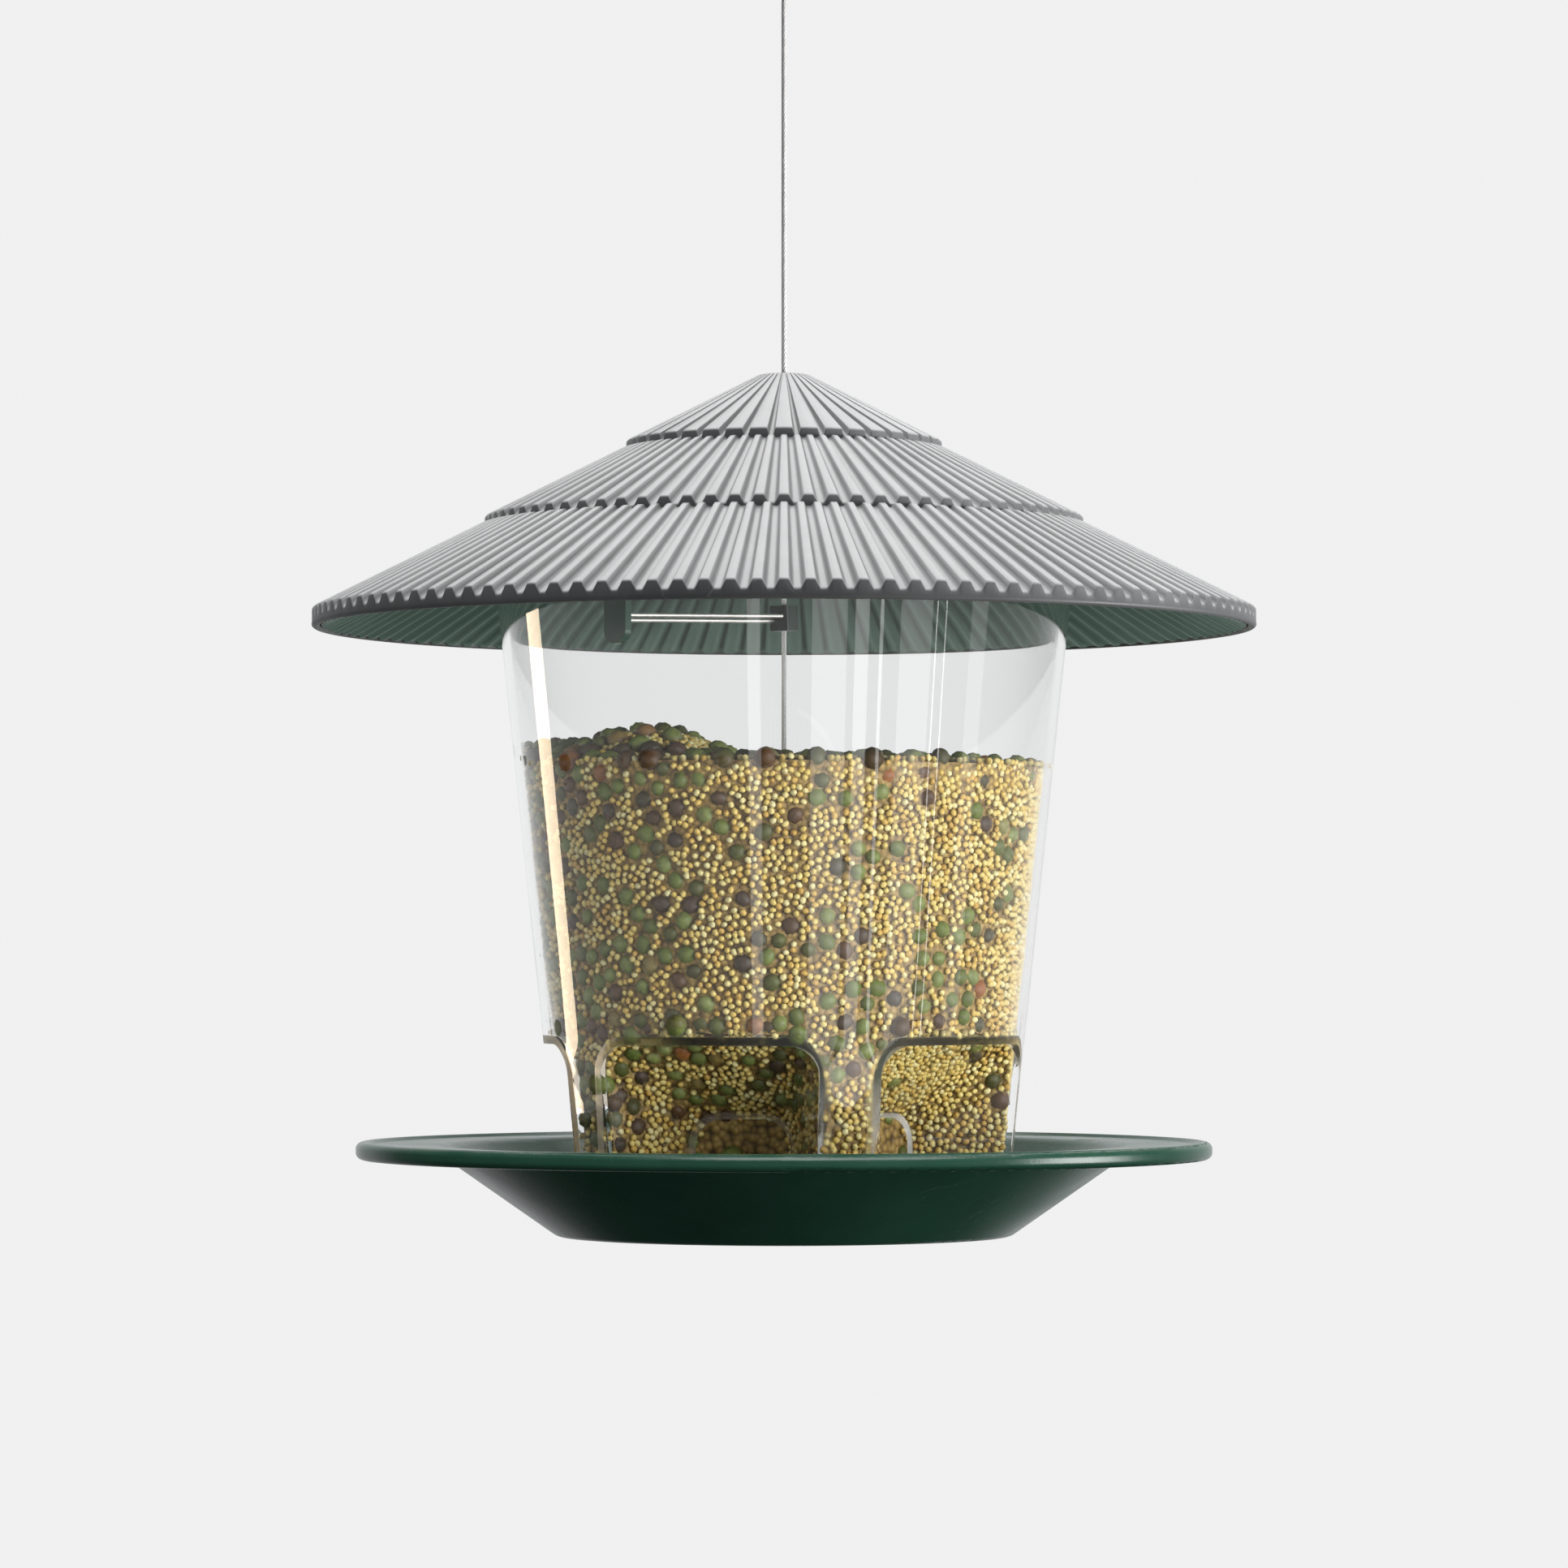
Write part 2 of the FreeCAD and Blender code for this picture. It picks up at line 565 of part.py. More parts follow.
def eye_thimble():
    """Grooved ring that keeps the cable's loop round."""
    half = EYE_WIDTH / 2
    outer = CABLE_LOOP_R + EYE_GROOVE_LIP
    profile = Part.Face(Part.makePolygon([
        FreeCAD.Vector(EYE_BORE_R, -half, 0), FreeCAD.Vector(outer, -half, 0),
        FreeCAD.Vector(outer, half, 0), FreeCAD.Vector(EYE_BORE_R, half, 0),
        FreeCAD.Vector(EYE_BORE_R, -half, 0)]))
    ring = profile.revolve(FreeCAD.Vector(), FreeCAD.Vector(0, 1, 0), 360)
    seat = Part.makeTorus(CABLE_LOOP_R, CABLE_R + EYE_GROOVE_GAP, FreeCAD.Vector(), FreeCAD.Vector(0, 1, 0))
    return ring.cut(seat)


def anchor_washer():
    return rod(WASHER_R, STOP_TOP, CONE_UNDER).cut(rod(CABLE_R + GUIDE_CLEARANCE, 0, CONE_TOP))


def anchor_stop():
    return rod(STOP_R, STOP_TOP - STOP_LEN, STOP_TOP).cut(rod(CABLE_R, 0, CONE_TOP))


# ---------------------------------------------------------------- write the parts
NODES = {
    "tray": tray,
    "reservoir": reservoir,
    "seed_fill": seed_fill,
    "seed_spills": seed_spills,
    "roof_shell": roof_shell,
    "roof_liner": roof_liner,
    "roof_bush": roof_bush,
    "lock_tongue": lock_tongue,
    "lock_spring": lock_spring,
    "cable_grip": cable_grip,
    "cable": cable,
    "top_ferrule": top_ferrule,
    "eye_thimble": eye_thimble,
    "anchor_washer": anchor_washer,
    "anchor_stop": anchor_stop,
}

for name, build in NODES.items():
    shape = build()
    if not shape.isValid():
        raise ValueError("%s is not a valid solid" % name)
    print("%-14s solids %d  volume %.1f" % (name, len(shape.Solids), shape.Volume))
    shape.exportStep("parts/%s.step" % name)
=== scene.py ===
import math
from functools import partial

import bpy
import numpy as np
from mathutils.kdtree import KDTree
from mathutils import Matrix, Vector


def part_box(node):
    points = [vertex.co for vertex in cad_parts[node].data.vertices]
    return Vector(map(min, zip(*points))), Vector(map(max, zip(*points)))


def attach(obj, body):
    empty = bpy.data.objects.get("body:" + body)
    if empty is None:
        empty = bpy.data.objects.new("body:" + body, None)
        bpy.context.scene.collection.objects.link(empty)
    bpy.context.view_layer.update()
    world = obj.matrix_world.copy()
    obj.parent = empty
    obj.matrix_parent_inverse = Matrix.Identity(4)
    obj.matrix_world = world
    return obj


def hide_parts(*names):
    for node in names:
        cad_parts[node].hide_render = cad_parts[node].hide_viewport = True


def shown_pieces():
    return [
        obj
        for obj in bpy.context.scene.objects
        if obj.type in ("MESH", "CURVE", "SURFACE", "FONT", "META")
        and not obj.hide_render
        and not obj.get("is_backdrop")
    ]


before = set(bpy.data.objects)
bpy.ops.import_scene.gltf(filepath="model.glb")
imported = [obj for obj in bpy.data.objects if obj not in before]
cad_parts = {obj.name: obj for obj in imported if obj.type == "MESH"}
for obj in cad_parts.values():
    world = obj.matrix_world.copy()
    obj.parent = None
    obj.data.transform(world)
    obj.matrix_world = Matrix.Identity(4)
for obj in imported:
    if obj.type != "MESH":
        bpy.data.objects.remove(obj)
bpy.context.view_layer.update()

# Hanging bird feeder, in metres. Heights below are measured up from the foot of the tray.
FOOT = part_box("tray")[0][2]
MM = 0.001

# ---------------------------------------------------------------- camera
# Lens and sensor in millimetres, the rest in metres and degrees
CAMERA_LENS = 131.73
CAMERA_SENSOR = 36.0
CAMERA_DISTANCE = 1.6435
CAMERA_HEIGHT = 0.07416
CAMERA_TILT = 1.918

# ---------------------------------------------------------------- cable
# From the stop under the tray up the axis, round the eye and back into the ferrule
CABLE_ROUTE = (
    (0, 0, FOOT + 0.0046),
    (0, 0, -0.02924),
    (0, 0, -0.02024),
    (-0.01023, 0, 0.00038),
    (-0.00527, 0, 0.00878),
    (0.00449, 0, 0.00920),
    (0.01016, 0, 0.00127),
    (0.0016, 0, -0.02058),
    (0.0016, 0, -0.0335),
)
STRANDS = 6
STRAND_R = 0.26 * MM
STRAND_RING_R = 0.49 * MM
STRAND_LAY = 8.0 * MM
STRAND_STEP = 0.7 * MM
STRAND_SIDES = 6

# ---------------------------------------------------------------- roof, in millimetres
ROOF_APEX = (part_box("roof_shell")[1][2] - FOOT) / MM
APEX_R = 7.25
WELL_R = 4.7
ROOF_SLOPE = math.tan(math.radians(26.8))
TIER_R = (45.3, 85.8, 135.0)
TIER_STEP = 1.6
TIER_RIBS = (40, 80, 120)
TIER_CREST = (0.33, 0.19, 0.18)     # half width of a rib's flat crest, as a share of the pitch
TIER_VALLEY = (0.43, 0.37, 0.36)    # where the rib's side has reached the valley
RIB_DEPTH = 2.4
RIB_DEPTH_OUTER = 2.6
SHELL_DROP = 4.4
TIER_OVERLAP = 2.0
NOSE_LENGTH = 2.6
NOSE_RISE = 0.25                    # share of its full height at which a rib begins
NOSE_TUCK = 0.4                     # how far under the tier above it begins
EDGE_ROUND = 0.55
# Painted shade on the roof: the paleness of the ribs' sides and valleys, where a crest is 1
SIDE_PAINTED_LIGHT = 0.46                    # paleness of the ribs' sides, where a crest is 1
VALLEY_PAINTED_LIGHT = 0.85
RIM_HEIGHT = 5.4
RIM_WALL = 2.4

# Liner, in millimetres
LINER_R = 132.4
LINER_TOP_DROP = 4.6
LINER_UNDER_DROP = 6.28
LINER_CORE_EXTRA = 0.8
LINER_RIB = 0.7
LINER_ROWS = 7
LINER_COLUMNS = 8                   # points across one rib
BOSS_DROP = 2.0
SEAT_OUT = 84.72
SEAT_IN = 75.72
SEAT_HEIGHT = 198.3
BUSH_BORE_R = 3.06

# Ports of the reservoir, in metres
PORT_COUNT = 5
PORT_START = -20.2                  # degrees from the front towards +X
PORT_HALF_W = 0.0324
PORT_TOP = 0.055
PORT_CORNER_R = 0.0083
PORT_LEG_R = 0.0645
# Feed holes behind the ports
HOLE_HALF_W = 0.0142
HOLE_TOP = 0.034
HOLE_CORNER_R = 0.008
HOLE_U = 0.0335                     # distance of the holes' wall from the axis
RESERVOIR_WALL = 0.0024

# ---------------------------------------------------------------- seed
MILLET_R = 1.08 * MM
MILLET_SPACING = 1.6 * MM
MILLET_TRIES = 7                    # places tried for each square of the millet's spacing
MILLET_PER_PIECE = 5200
MILLET_BALL = (6, 4)                # segments, rings
PEA_R = 3.0 * MM
PEA_SPACING = 4.8 * MM
PEA_CLEAR = 3.95 * MM               # from a pea's centre to the nearest millet's
PEA_TRIES = 14000
PEA_BALL = (8, 6)
CORE_DEPTH = 1.2 * MM
LEVEL_NORMAL = 0.7                  # a skin whose normal rises more than this is a heap's top
# The skin is bare where nothing sees it: near the tray, round the hub and along the axis
SKIN_LOW = 4.2 * MM
HUB_R = 31.5 * MM
HUB_TOP = 20.0 * MM
AXIS_R = 2.0 * MM
# The open part of a feed hole, which stays empty
HOLE_SIDE_GAP = 1.2 * MM
HOLE_DEPTH = 2.0 * MM
HOLE_SILL = 22.0 * MM
SEED_SEED = 4172

# ---------------------------------------------------------------- finishes
TONES = (0.3, 0.7)                  # part of the slow noise that turns one tone into the other
GLOSS_SPAN = (0.25, 0.75)           # part of it that turns the roughness
DUST_COLOUR = (0.42, 0.40, 0.36, 1)
SEED_DUST = (0.05, 0.035, 0.02, 1)
# Painted shade towards the edge of each seed: its colour and strength
SEED_SHADE = (0.10, 0.055, 0.02, 1)
EDGE_SHADE = 0.55
SATIN_EDGE = 0.42                   # roughness of the ports' edges
MILLET_TONES = (
    (0.0, (0.70, 0.42, 0.09)), (0.2, (0.88, 0.62, 0.16)), (0.7, (0.96, 0.77, 0.27)),
    (1.0, (0.97, 0.87, 0.46)),
)
PEA_TONES = (
    (0.0, (0.13, 0.06, 0.022)), (0.16, (0.06, 0.042, 0.028)), (0.26, (0.10, 0.105, 0.022)),
    (0.6, (0.16, 0.21, 0.035)), (0.95, (0.27, 0.31, 0.09)), (0.98, (0.34, 0.12, 0.03)),
    (1.0, (0.42, 0.14, 0.03)),
)

# ---------------------------------------------------------------- studio
BOUNCES = 24
GLOSSY_BOUNCES = 12
BACKDROP = 0.875
AMBIENT = 0.26
AMBIENT_COLOUR = (0.97, 0.985, 1, 1)
MIRRORED_FRONT = 0.02
MIRRORED_BACK = 0.85
MIRRORED_BELOW = 0.03
FLOOR_HALF = 3.0
FLOOR_DROP = 0.7
MIDDLE = 0.12                       # height of the feeder's middle above the tray's foot
# Name, place, height aimed at, width, height, radiance, what it lights; heights from the foot
LAMPS = (
    ("overhead", (0, 0.35, 1.5), 0.2, 1.6, 1.3, 4.6, "all"),
    ("right_fill", (1.9, -0.25, -0.1), MIDDLE, 0.9, 0.8, 16.0, "all but seed"),
    ("eaves_left", (-1.4, -0.55, 0.03), 0.18, 0.6, 0.3, 170.0, "liner"),
    ("eaves_right", (1.4, -0.55, 0.03), 0.18, 0.6, 0.3, 125.0, "liner"),
    ("tray_front", (0.3, -1.5, 1.5), 0.02, 2.4, 1.6, 6.0, "tray"),
)
SEED_LAMP_DISTANCE = 2.0
SEED_LAMP_HEIGHT = 0.1
SEED_LAMP_SIZE = (1.6, 1.2)
SEED_LIGHTS = ((50, 8.0), (130, 4.0), (200, 2.5), (290, 0.8))    # bearing from the front, radiance
STRIP_DISTANCE = 2.0
STRIP_HEIGHT = 1.7
STRIP_MIDDLE = 0.13
RESERVOIR_LEAN = math.atan(0.106)
CREAM = (1.0, 0.8, 0.56)
WHITE = (1.0, 1.0, 1.0)
# Reflections on the reservoir: angle from the front, lamp width in metres, radiance, colour
STRIPS = (
    (-60.0, 0.38, 9.0, CREAM),
    (-6.0, 0.18, 2.6, WHITE),
    (15.5, 0.20, 3.4, WHITE),
    (19.5, 0.05, 5.0, WHITE),
    (31.5, 0.02, 8.0, WHITE),
    (33.6, 0.02, 8.0, WHITE),
    (9.0, 0.5, 2.2, WHITE),
    (27.0, 0.5, 2.2, WHITE),
    (42.0, 0.3, 1.4, WHITE),
)


# ================================================================ meshes
def new_mesh(name, points, *face_arrays, sharp=35.0):
    """Smooth mesh of an array of points and arrays of faces, creased where it turns sharply."""
    mesh = bpy.data.meshes.new(name)
    mesh.vertices.add(len(points))
    mesh.vertices.foreach_set("co", np.asarray(points, np.float32).ravel())
    loops = np.concatenate([faces.ravel() for faces in face_arrays]).astype(np.int32)
    sizes = np.concatenate([np.full(len(faces), faces.shape[1]) for faces in face_arrays])
    starts = np.concatenate([[0], np.cumsum(sizes)[:-1]]).astype(np.int32)
    mesh.loops.add(len(loops))
    mesh.loops.foreach_set("vertex_index", loops)
    mesh.polygons.add(len(starts))
    mesh.polygons.foreach_set("loop_start", starts)
    mesh.update(calc_edges=True)
    mesh.polygons.foreach_set("use_smooth", np.ones(len(starts), bool))
    if sharp:
        mesh.set_sharp_from_angle(angle=math.radians(sharp))
    return mesh


def add_values(mesh, name, values):
    """Stores one number per point of the mesh."""
    layer = mesh.attributes.new(name, "FLOAT", "POINT")
    layer.data.foreach_set("value", np.asarray(values, np.float32).ravel())


def add_piece(name, mesh, material, body, slot, *nodes):
    """Object of a mesh that rides on a body, has the given finish and stands for CAD nodes. The
    slot is not used.
    """
    piece = bpy.data.objects.new(name, mesh)
    bpy.context.scene.collection.objects.link(piece)
    mesh.materials.append(material)
    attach(piece, body)
    if nodes:
        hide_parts(*nodes)
    return piece


def grid_faces(rows, columns, rows_close=False):
    """Quads between the points of a grid counted row by row, whose columns close on themselves."""
    i = np.arange(rows if rows_close else rows - 1)[:, None]
    j = np.arange(columns)[None, :]
    below = (i + 1) % rows
    beside = (j + 1) % columns
    corners = (i * columns + j, below * columns + j, below * columns + beside, i * columns + beside)
    return np.stack(np.broadcast_arrays(*corners), axis=-1).reshape(-1, 4)


def cap_faces(first, sides, centre, flip):
    """Fan of triangles from a ring of points to its centre."""
    i = np.arange(sides)
    fan = np.stack([first + i, first + (i + 1) % sides, np.full(sides, centre)], axis=-1)
    return fan[:, ::-1] if flip else fan


# ================================================================ cable
def route_points(route):
    """Points along the smooth line of a route, read from a NURBS spline that it controls."""
    curve = bpy.data.curves.new("cable_route", "CURVE")
    curve.dimensions = "3D"
    curve.resolution_u = 32
    spline = curve.splines.new("NURBS")
    spline.points.add(len(route) - 1)
    spline.points.foreach_set("co", np.array([(*p, 1) for p in route], np.float32).ravel())
    spline.order_u = 3
    spline.use_endpoint_u = True
    holder = bpy.data.objects.new("cable_route", curve)
    line = bpy.data.meshes.new_from_object(holder)
    points = np.array([v.co for v in line.vertices], float)
    bpy.data.meshes.remove(line)
    bpy.data.objects.remove(holder)
    bpy.data.curves.remove(curve)
    return points


def evenly_spaced(line, step):
    """The line's places at equal steps along it, and how far along each one is."""
    along = np.concatenate([[0], np.cumsum(np.linalg.norm(np.diff(line, axis=0), axis=1))])
    at = np.linspace(0, along[-1], int(along[-1] / step) + 1)
    return np.stack([np.interp(at, along, line[:, k]) for k in range(3)], axis=1), at


def cable_mesh(line):
    """Six strands wound round a straight one.

    A strand's centre is the line's point plus STRAND_RING_R times the direction at the angle
    2 pi s / lay + its own start, in the plane across the line. Each strand is a tube of circles.
    """
    places, along = evenly_spaced(line, STRAND_STEP)
    heading = np.gradient(places, axis=0)
    heading /= np.linalg.norm(heading, axis=1, keepdims=True)
    side = np.array([0.0, 1.0, 0.0])
    across = np.cross(side, heading)
    starts = 2 * np.pi * np.arange(STRANDS) / STRANDS
    turn = 2 * np.pi * along[None, :] / STRAND_LAY + starts[:, None]
    ring = np.cos(turn)[..., None] * across + np.sin(turn)[..., None] * side
    centres = np.concatenate([places[None], places + STRAND_RING_R * ring])
    angle = 2 * np.pi * np.arange(STRAND_SIDES) / STRAND_SIDES
    circle = (np.cos(angle)[:, None, None] * across + np.sin(angle)[:, None, None] * side)
    tubes = centres[:, :, None, :] + STRAND_R * circle.transpose(1, 0, 2)[None]
    strands, rows = tubes.shape[:2]
    points = []
    faces = []
    caps = []
    for k in range(strands):
        first = k * (rows * STRAND_SIDES + 2)
        points += [tubes[k].reshape(-1, 3), centres[k, :1], centres[k, -1:]]
        faces.append(first + grid_faces(rows, STRAND_SIDES))
        last = first + (rows - 1) * STRAND_SIDES
        caps.append(cap_faces(first, STRAND_SIDES, last + STRAND_SIDES, False))
        caps.append(cap_faces(last, STRAND_SIDES, last + STRAND_SIDES + 1, True))
    faces = np.concatenate(faces)[:, ::-1]
    caps = np.concatenate(caps)[:, ::-1]
    return new_mesh("cable_rope", np.concatenate(points), faces, caps)


# ================================================================ roof
def crest_height(radius):
    """Height of the rib crests: a cone of the roof's slope, a step lower at each tier."""
    steps = sum(np.asarray(radius) > edge for edge in TIER_R[:-1])
    return ROOF_APEX - np.maximum(radius - APEX_R, 0) * ROOF_SLOPE - steps * TIER_STEP


def rib_angles(tier):
    """Angles from the front of the tier's columns, and the rib's share of full height at each.

    One rib is flat on its crest, slants down its side and rounds out into the valley. The same
    places are repeated for each rib, mirrored about its crest.
    """
    crest = TIER_CREST[tier]
    valley = TIER_VALLEY[tier]
    half = np.array([0, crest - 0.02, crest + 0.012, (crest + valley) / 2, valley, valley + 0.04])
    height = np.array([1.0, 1.0, 0.93, 0.48, 0.08, 0.015])
    share = np.concatenate([half, [0.5], 1 - half[:0:-1]])
    raised = np.concatenate([height, [0.0], height[:0:-1]])
    ribs = TIER_RIBS[tier]
    angle = (np.arange(ribs)[:, None] + share[None, :]) * 2 * np.pi / ribs
    return angle.ravel(), np.tile(raised, ribs)


def ring_points(angle, radius, height):
    """Points at radii and heights in millimetres, at angles from the front towards +X."""
    x = radius * np.sin(angle)
    y = -radius * np.cos(angle)
    z = np.broadcast_to(height, x.shape)
    return np.stack([x, y, z], axis=-1) * MM + np.array([0, 0, FOOT])


def tier_mesh_parts(tier):
    """Closed ring of one tier.

    Its top is the crest cone less the rib depth times the valley share, the depth growing with
    the radius. The ribs begin in quarter-round noses, end at a rounded edge, and a wall goes
    down from there. The underside is the crest cone less the shell's drop.
    """
    angle, raised = rib_angles(tier)
    outer = TIER_R[tier]
    inner = WELL_R if tier == 0 else TIER_R[tier - 1] - TIER_OVERLAP
    start = APEX_R if tier == 0 else TIER_R[tier - 1]
    base = ROOF_APEX if tier == 0 else float(crest_height(start)) - TIER_STEP
    depth_at_edge = RIB_DEPTH if tier < 2 else RIB_DEPTH_OUTER

    def level(radius):
        fall = (radius - start) * ROOF_SLOPE
        return base - (max(fall, 0.0) if tier == 0 else fall)

    def top_row(radius, nose=1.0, lower=0.0):
        depth = depth_at_edge * radius / outer
        if tier == 0 and radius <= APEX_R:
            depth = 0.0
        valley = level(radius) - depth
        return radius, valley + depth * raised * nose - lower

    # Painted shade: each point's paleness, lighter on the crests and darker on the ribs' sides and
    # valleys
    pale = np.where(raised > 0.9, 1.0, np.where(raised > 0.2, SIDE_PAINTED_LIGHT, VALLEY_PAINTED_LIGHT))
    dark = 0 * raised
    rows = []
    if tier == 0:
        for radius in (WELL_R, APEX_R - 0.3, APEX_R + 0.3, APEX_R + 2.5, 0.55 * outer):
            rows.append((*top_row(radius), pale))
    else:
        # Painted shade: the noses are darker where they tuck under the tier above
        rows.append((*top_row(inner, NOSE_RISE), dark))
        for along in (0.0, 0.08, 0.22, 0.45, 0.75, 1.0):
            nose = NOSE_RISE + (1 - NOSE_RISE) * math.sqrt(1 - (1 - along) ** 2)
            radius = start - NOSE_TUCK + along * NOSE_LENGTH
            rows.append((*top_row(radius, nose), pale * (0.35 + 0.65 * along)))
        rows.append((*top_row((start + outer) / 2), pale))
    nearly = 0.16 * EDGE_ROUND
    # Painted shade: darker along the lower side of the rounded edge
    for back, lower in ((EDGE_ROUND, 0.0), (nearly, nearly + 0.1), (0.0, EDGE_ROUND)):
        rows.append((*top_row(outer - back, 1.0, lower), pale if back else pale * 0.2))
    if tier < 2:
        rim = ((outer, level(outer) - SHELL_DROP),)
    else:
        bottom = level(outer) - RIM_HEIGHT
        within = outer - RIM_WALL
        rim = (
            (outer, bottom + 1.3), (outer + 0.12, bottom + 0.9), (outer - 0.05, bottom + 0.4),
            (outer - 0.45, bottom + 0.08), (outer - 1.0, bottom), (within + 0.9, bottom + 0.1),
            (within + 0.25, bottom + 0.45), (within, bottom + 1.2),
            (within, level(within) - SHELL_DROP),
        )
    # Painted shade: the rim and the underside are painted darkest
    for radius, height in (*rim, (inner, level(inner) - SHELL_DROP)):
        rows.append((radius, dark + height, dark))
    points = np.stack([ring_points(angle, radius, height) for radius, height, _ in rows])
    faces = grid_faces(len(rows), len(angle), rows_close=True)
    return points.reshape(-1, 3), faces, np.concatenate([painted_shade for _, _, painted_shade in rows])


def roof_mesh():
    """The three tiers, each a closed ring that overlaps the one below it."""
    points = []
    faces = []
    painted_shade = []
    count = 0
    for tier in range(3):
        ring, quads, values = tier_mesh_parts(tier)
        points.append(ring)
        faces.append(quads + count)
        painted_shade.append(values)
        count += len(ring)
    mesh = new_mesh("roof_tiers", np.concatenate(points), np.concatenate(faces), sharp=38.0)
    # Painted shade of each point, which the roof's material reads
    add_values(mesh, "pale", np.concatenate(painted_shade))
    return mesh


def liner_mesh():
    """Closed ring under the shell: a profile turned about the axis, ribbed underneath.

    Outside the seat the underside is the liner's cone plus LINER_RIB times a cosine of the rib
    angle, growing with the radius, so that it has the same number of ribs as the outer tier.
    """
    columns = TIER_RIBS[2] * LINER_COLUMNS
    angle = 2 * np.pi * np.arange(columns) / columns
    wave = np.cos(TIER_RIBS[2] * angle)
    wave = np.sign(wave) * np.abs(wave) ** 0.6

    def under(radius):
        steps = 1 if radius <= TIER_R[1] else 2
        return ROOF_APEX - (radius - APEX_R) * ROOF_SLOPE - steps * TIER_STEP - LINER_UNDER_DROP

    def above(radius):
        return float(crest_height(radius)) - LINER_TOP_DROP

    eaves = under(LINER_R)
    profile = [
        (BUSH_BORE_R, ROOF_APEX - LINER_TOP_DROP, 0),
        (APEX_R, ROOF_APEX - LINER_TOP_DROP, 0),
    ]
    for edge in TIER_R[:2]:
        profile += [(edge, above(edge), 0), (edge, above(edge) - TIER_STEP, 0)]
    profile += [
        (LINER_R, above(LINER_R), 0),
        (LINER_R, eaves + 0.3, 0),
        (LINER_R - 0.4, eaves + 0.1, 0.5),
    ]
    for radius in np.linspace(LINER_R - 1.6, TIER_R[1] + 0.2, LINER_ROWS):
        profile.append((radius, eaves + (LINER_R - radius) * ROOF_SLOPE, radius / LINER_R))
    profile += [
        (SEAT_OUT + 0.3, eaves + (LINER_R - SEAT_OUT - 0.3) * ROOF_SLOPE, 0.5),
        (SEAT_OUT, SEAT_HEIGHT + 0.4, 0),
        (SEAT_OUT - 0.4, SEAT_HEIGHT, 0),
        (SEAT_IN + 0.4, SEAT_HEIGHT, 0),
        (SEAT_IN, SEAT_HEIGHT + 0.4, 0),
        (SEAT_IN, under(SEAT_IN) - LINER_CORE_EXTRA, 0),
        (APEX_R, ROOF_APEX - LINER_UNDER_DROP - BOSS_DROP, 0),
        (BUSH_BORE_R, ROOF_APEX - LINER_UNDER_DROP - BOSS_DROP, 0),
    ]
    rows = [ring_points(angle, r, h + share * LINER_RIB * wave) for r, h, share in profile]
    points = np.stack(rows).reshape(-1, 3)
    mesh = new_mesh("roof_underside", points, grid_faces(len(profile), columns, rows_close=True))
    # Painted sheen: the underside is painted paler outside the seat
    outside = np.array([float(radius > SEAT_OUT) for radius, _, _ in profile])
    add_values(mesh, "pale", np.repeat(outside, columns))
    return mesh


# ================================================================ seed
def joined_triangles(node):
    """Points and triangles of a CAD node, with the corners that share a place joined."""
    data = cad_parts[node].data
    data.calc_loop_triangles()
    points = np.empty(3 * len(data.vertices), np.float32)
    data.vertices.foreach_get("co", points)
    triangles = np.empty(3 * len(data.loop_triangles), np.int32)
    data.loop_triangles.foreach_get("vertices", triangles)
    places, number = np.unique(np.round(points.reshape(-1, 3), 6), axis=0, return_inverse=True)
    triangles = number.reshape(-1)[triangles].reshape(-1, 3)
    whole = (triangles != np.roll(triangles, 1, axis=1)).all(axis=1)
    return places.astype(float), triangles[whole]


def face_normals(points, triangles):
    """Normal of each triangle, as long as twice its area."""
    a, b, c = (points[triangles[:, k]] for k in range(3))
    return np.cross(b - a, c - a)


def shrunk(points, triangles, depth):
    """The points moved inwards along the mean of their triangles' normals."""
    normals = np.zeros_like(points)
    for k in range(3):
        np.add.at(normals, triangles[:, k], face_normals(points, triangles))
    normals /= np.maximum(np.linalg.norm(normals, axis=1, keepdims=True), 1e-12)
    return points - depth * normals


def scattered(points, triangles, count, rng):
    """Random places on the triangles, in proportion to area, and the normals there."""
    normals = face_normals(points, triangles)
    doubled = np.linalg.norm(normals, axis=1)
    pick = rng.choice(len(triangles), count, p=doubled / doubled.sum())
    u, v = rng.random((2, count, 1))
    over = u + v > 1
    u, v = np.where(over, 1 - u, u), np.where(over, 1 - v, v)
    a, b, c = (points[triangles[pick, k]] for k in range(3))
    return a + u * (b - a) + v * (c - a), normals[pick] / doubled[pick, None]


def search_tree(places):
    """Tree that finds the nearest of the places."""
    tree = KDTree(len(places))
    for i, place in enumerate(places):
        tree.insert(place, i)
    tree.balance()
    return tree


def thinned(places, spacing):
    """Numbers of the places kept, each one taken dropping the later ones nearer than spacing."""
    tree = search_tree(places)
    dropped = np.zeros(len(places), bool)
    kept = []
    for i, place in enumerate(places):
        if not dropped[i]:
            kept.append(i)
            dropped[[near[1] for near in tree.find_range(place, spacing)]] = True
    return np.array(kept)


def clear_of(places, others, distance):
    """True for the places that are further than a distance from all the others."""
    tree = search_tree(others)
    return np.array([tree.find(place)[2] > distance for place in places])


def ball(segments, rings):
    """Points and triangles of a unit sphere of latitude rings between two poles."""
    polar = np.pi * np.arange(1, rings) / rings
    steps = np.arange(segments)[None, :] + 0.5 * np.arange(rings - 1)[:, None]
    turn = 2 * np.pi * steps / segments
    body = np.stack([np.sin(polar)[:, None] * np.cos(turn), np.sin(polar)[:, None] * np.sin(turn),
                     np.broadcast_to(np.cos(polar)[:, None], turn.shape)], axis=-1)
    points = np.concatenate([body.reshape(-1, 3), [[0, 0, 1], [0, 0, -1]]])
    quads = grid_faces(rings - 1, segments)
    top = cap_faces(0, segments, len(points) - 2, False)
    bottom = cap_faces((rings - 2) * segments, segments, len(points) - 1, True)
    triangles = np.concatenate([quads[:, :3], quads[:, [0, 2, 3]], top, bottom])
    return points, triangles


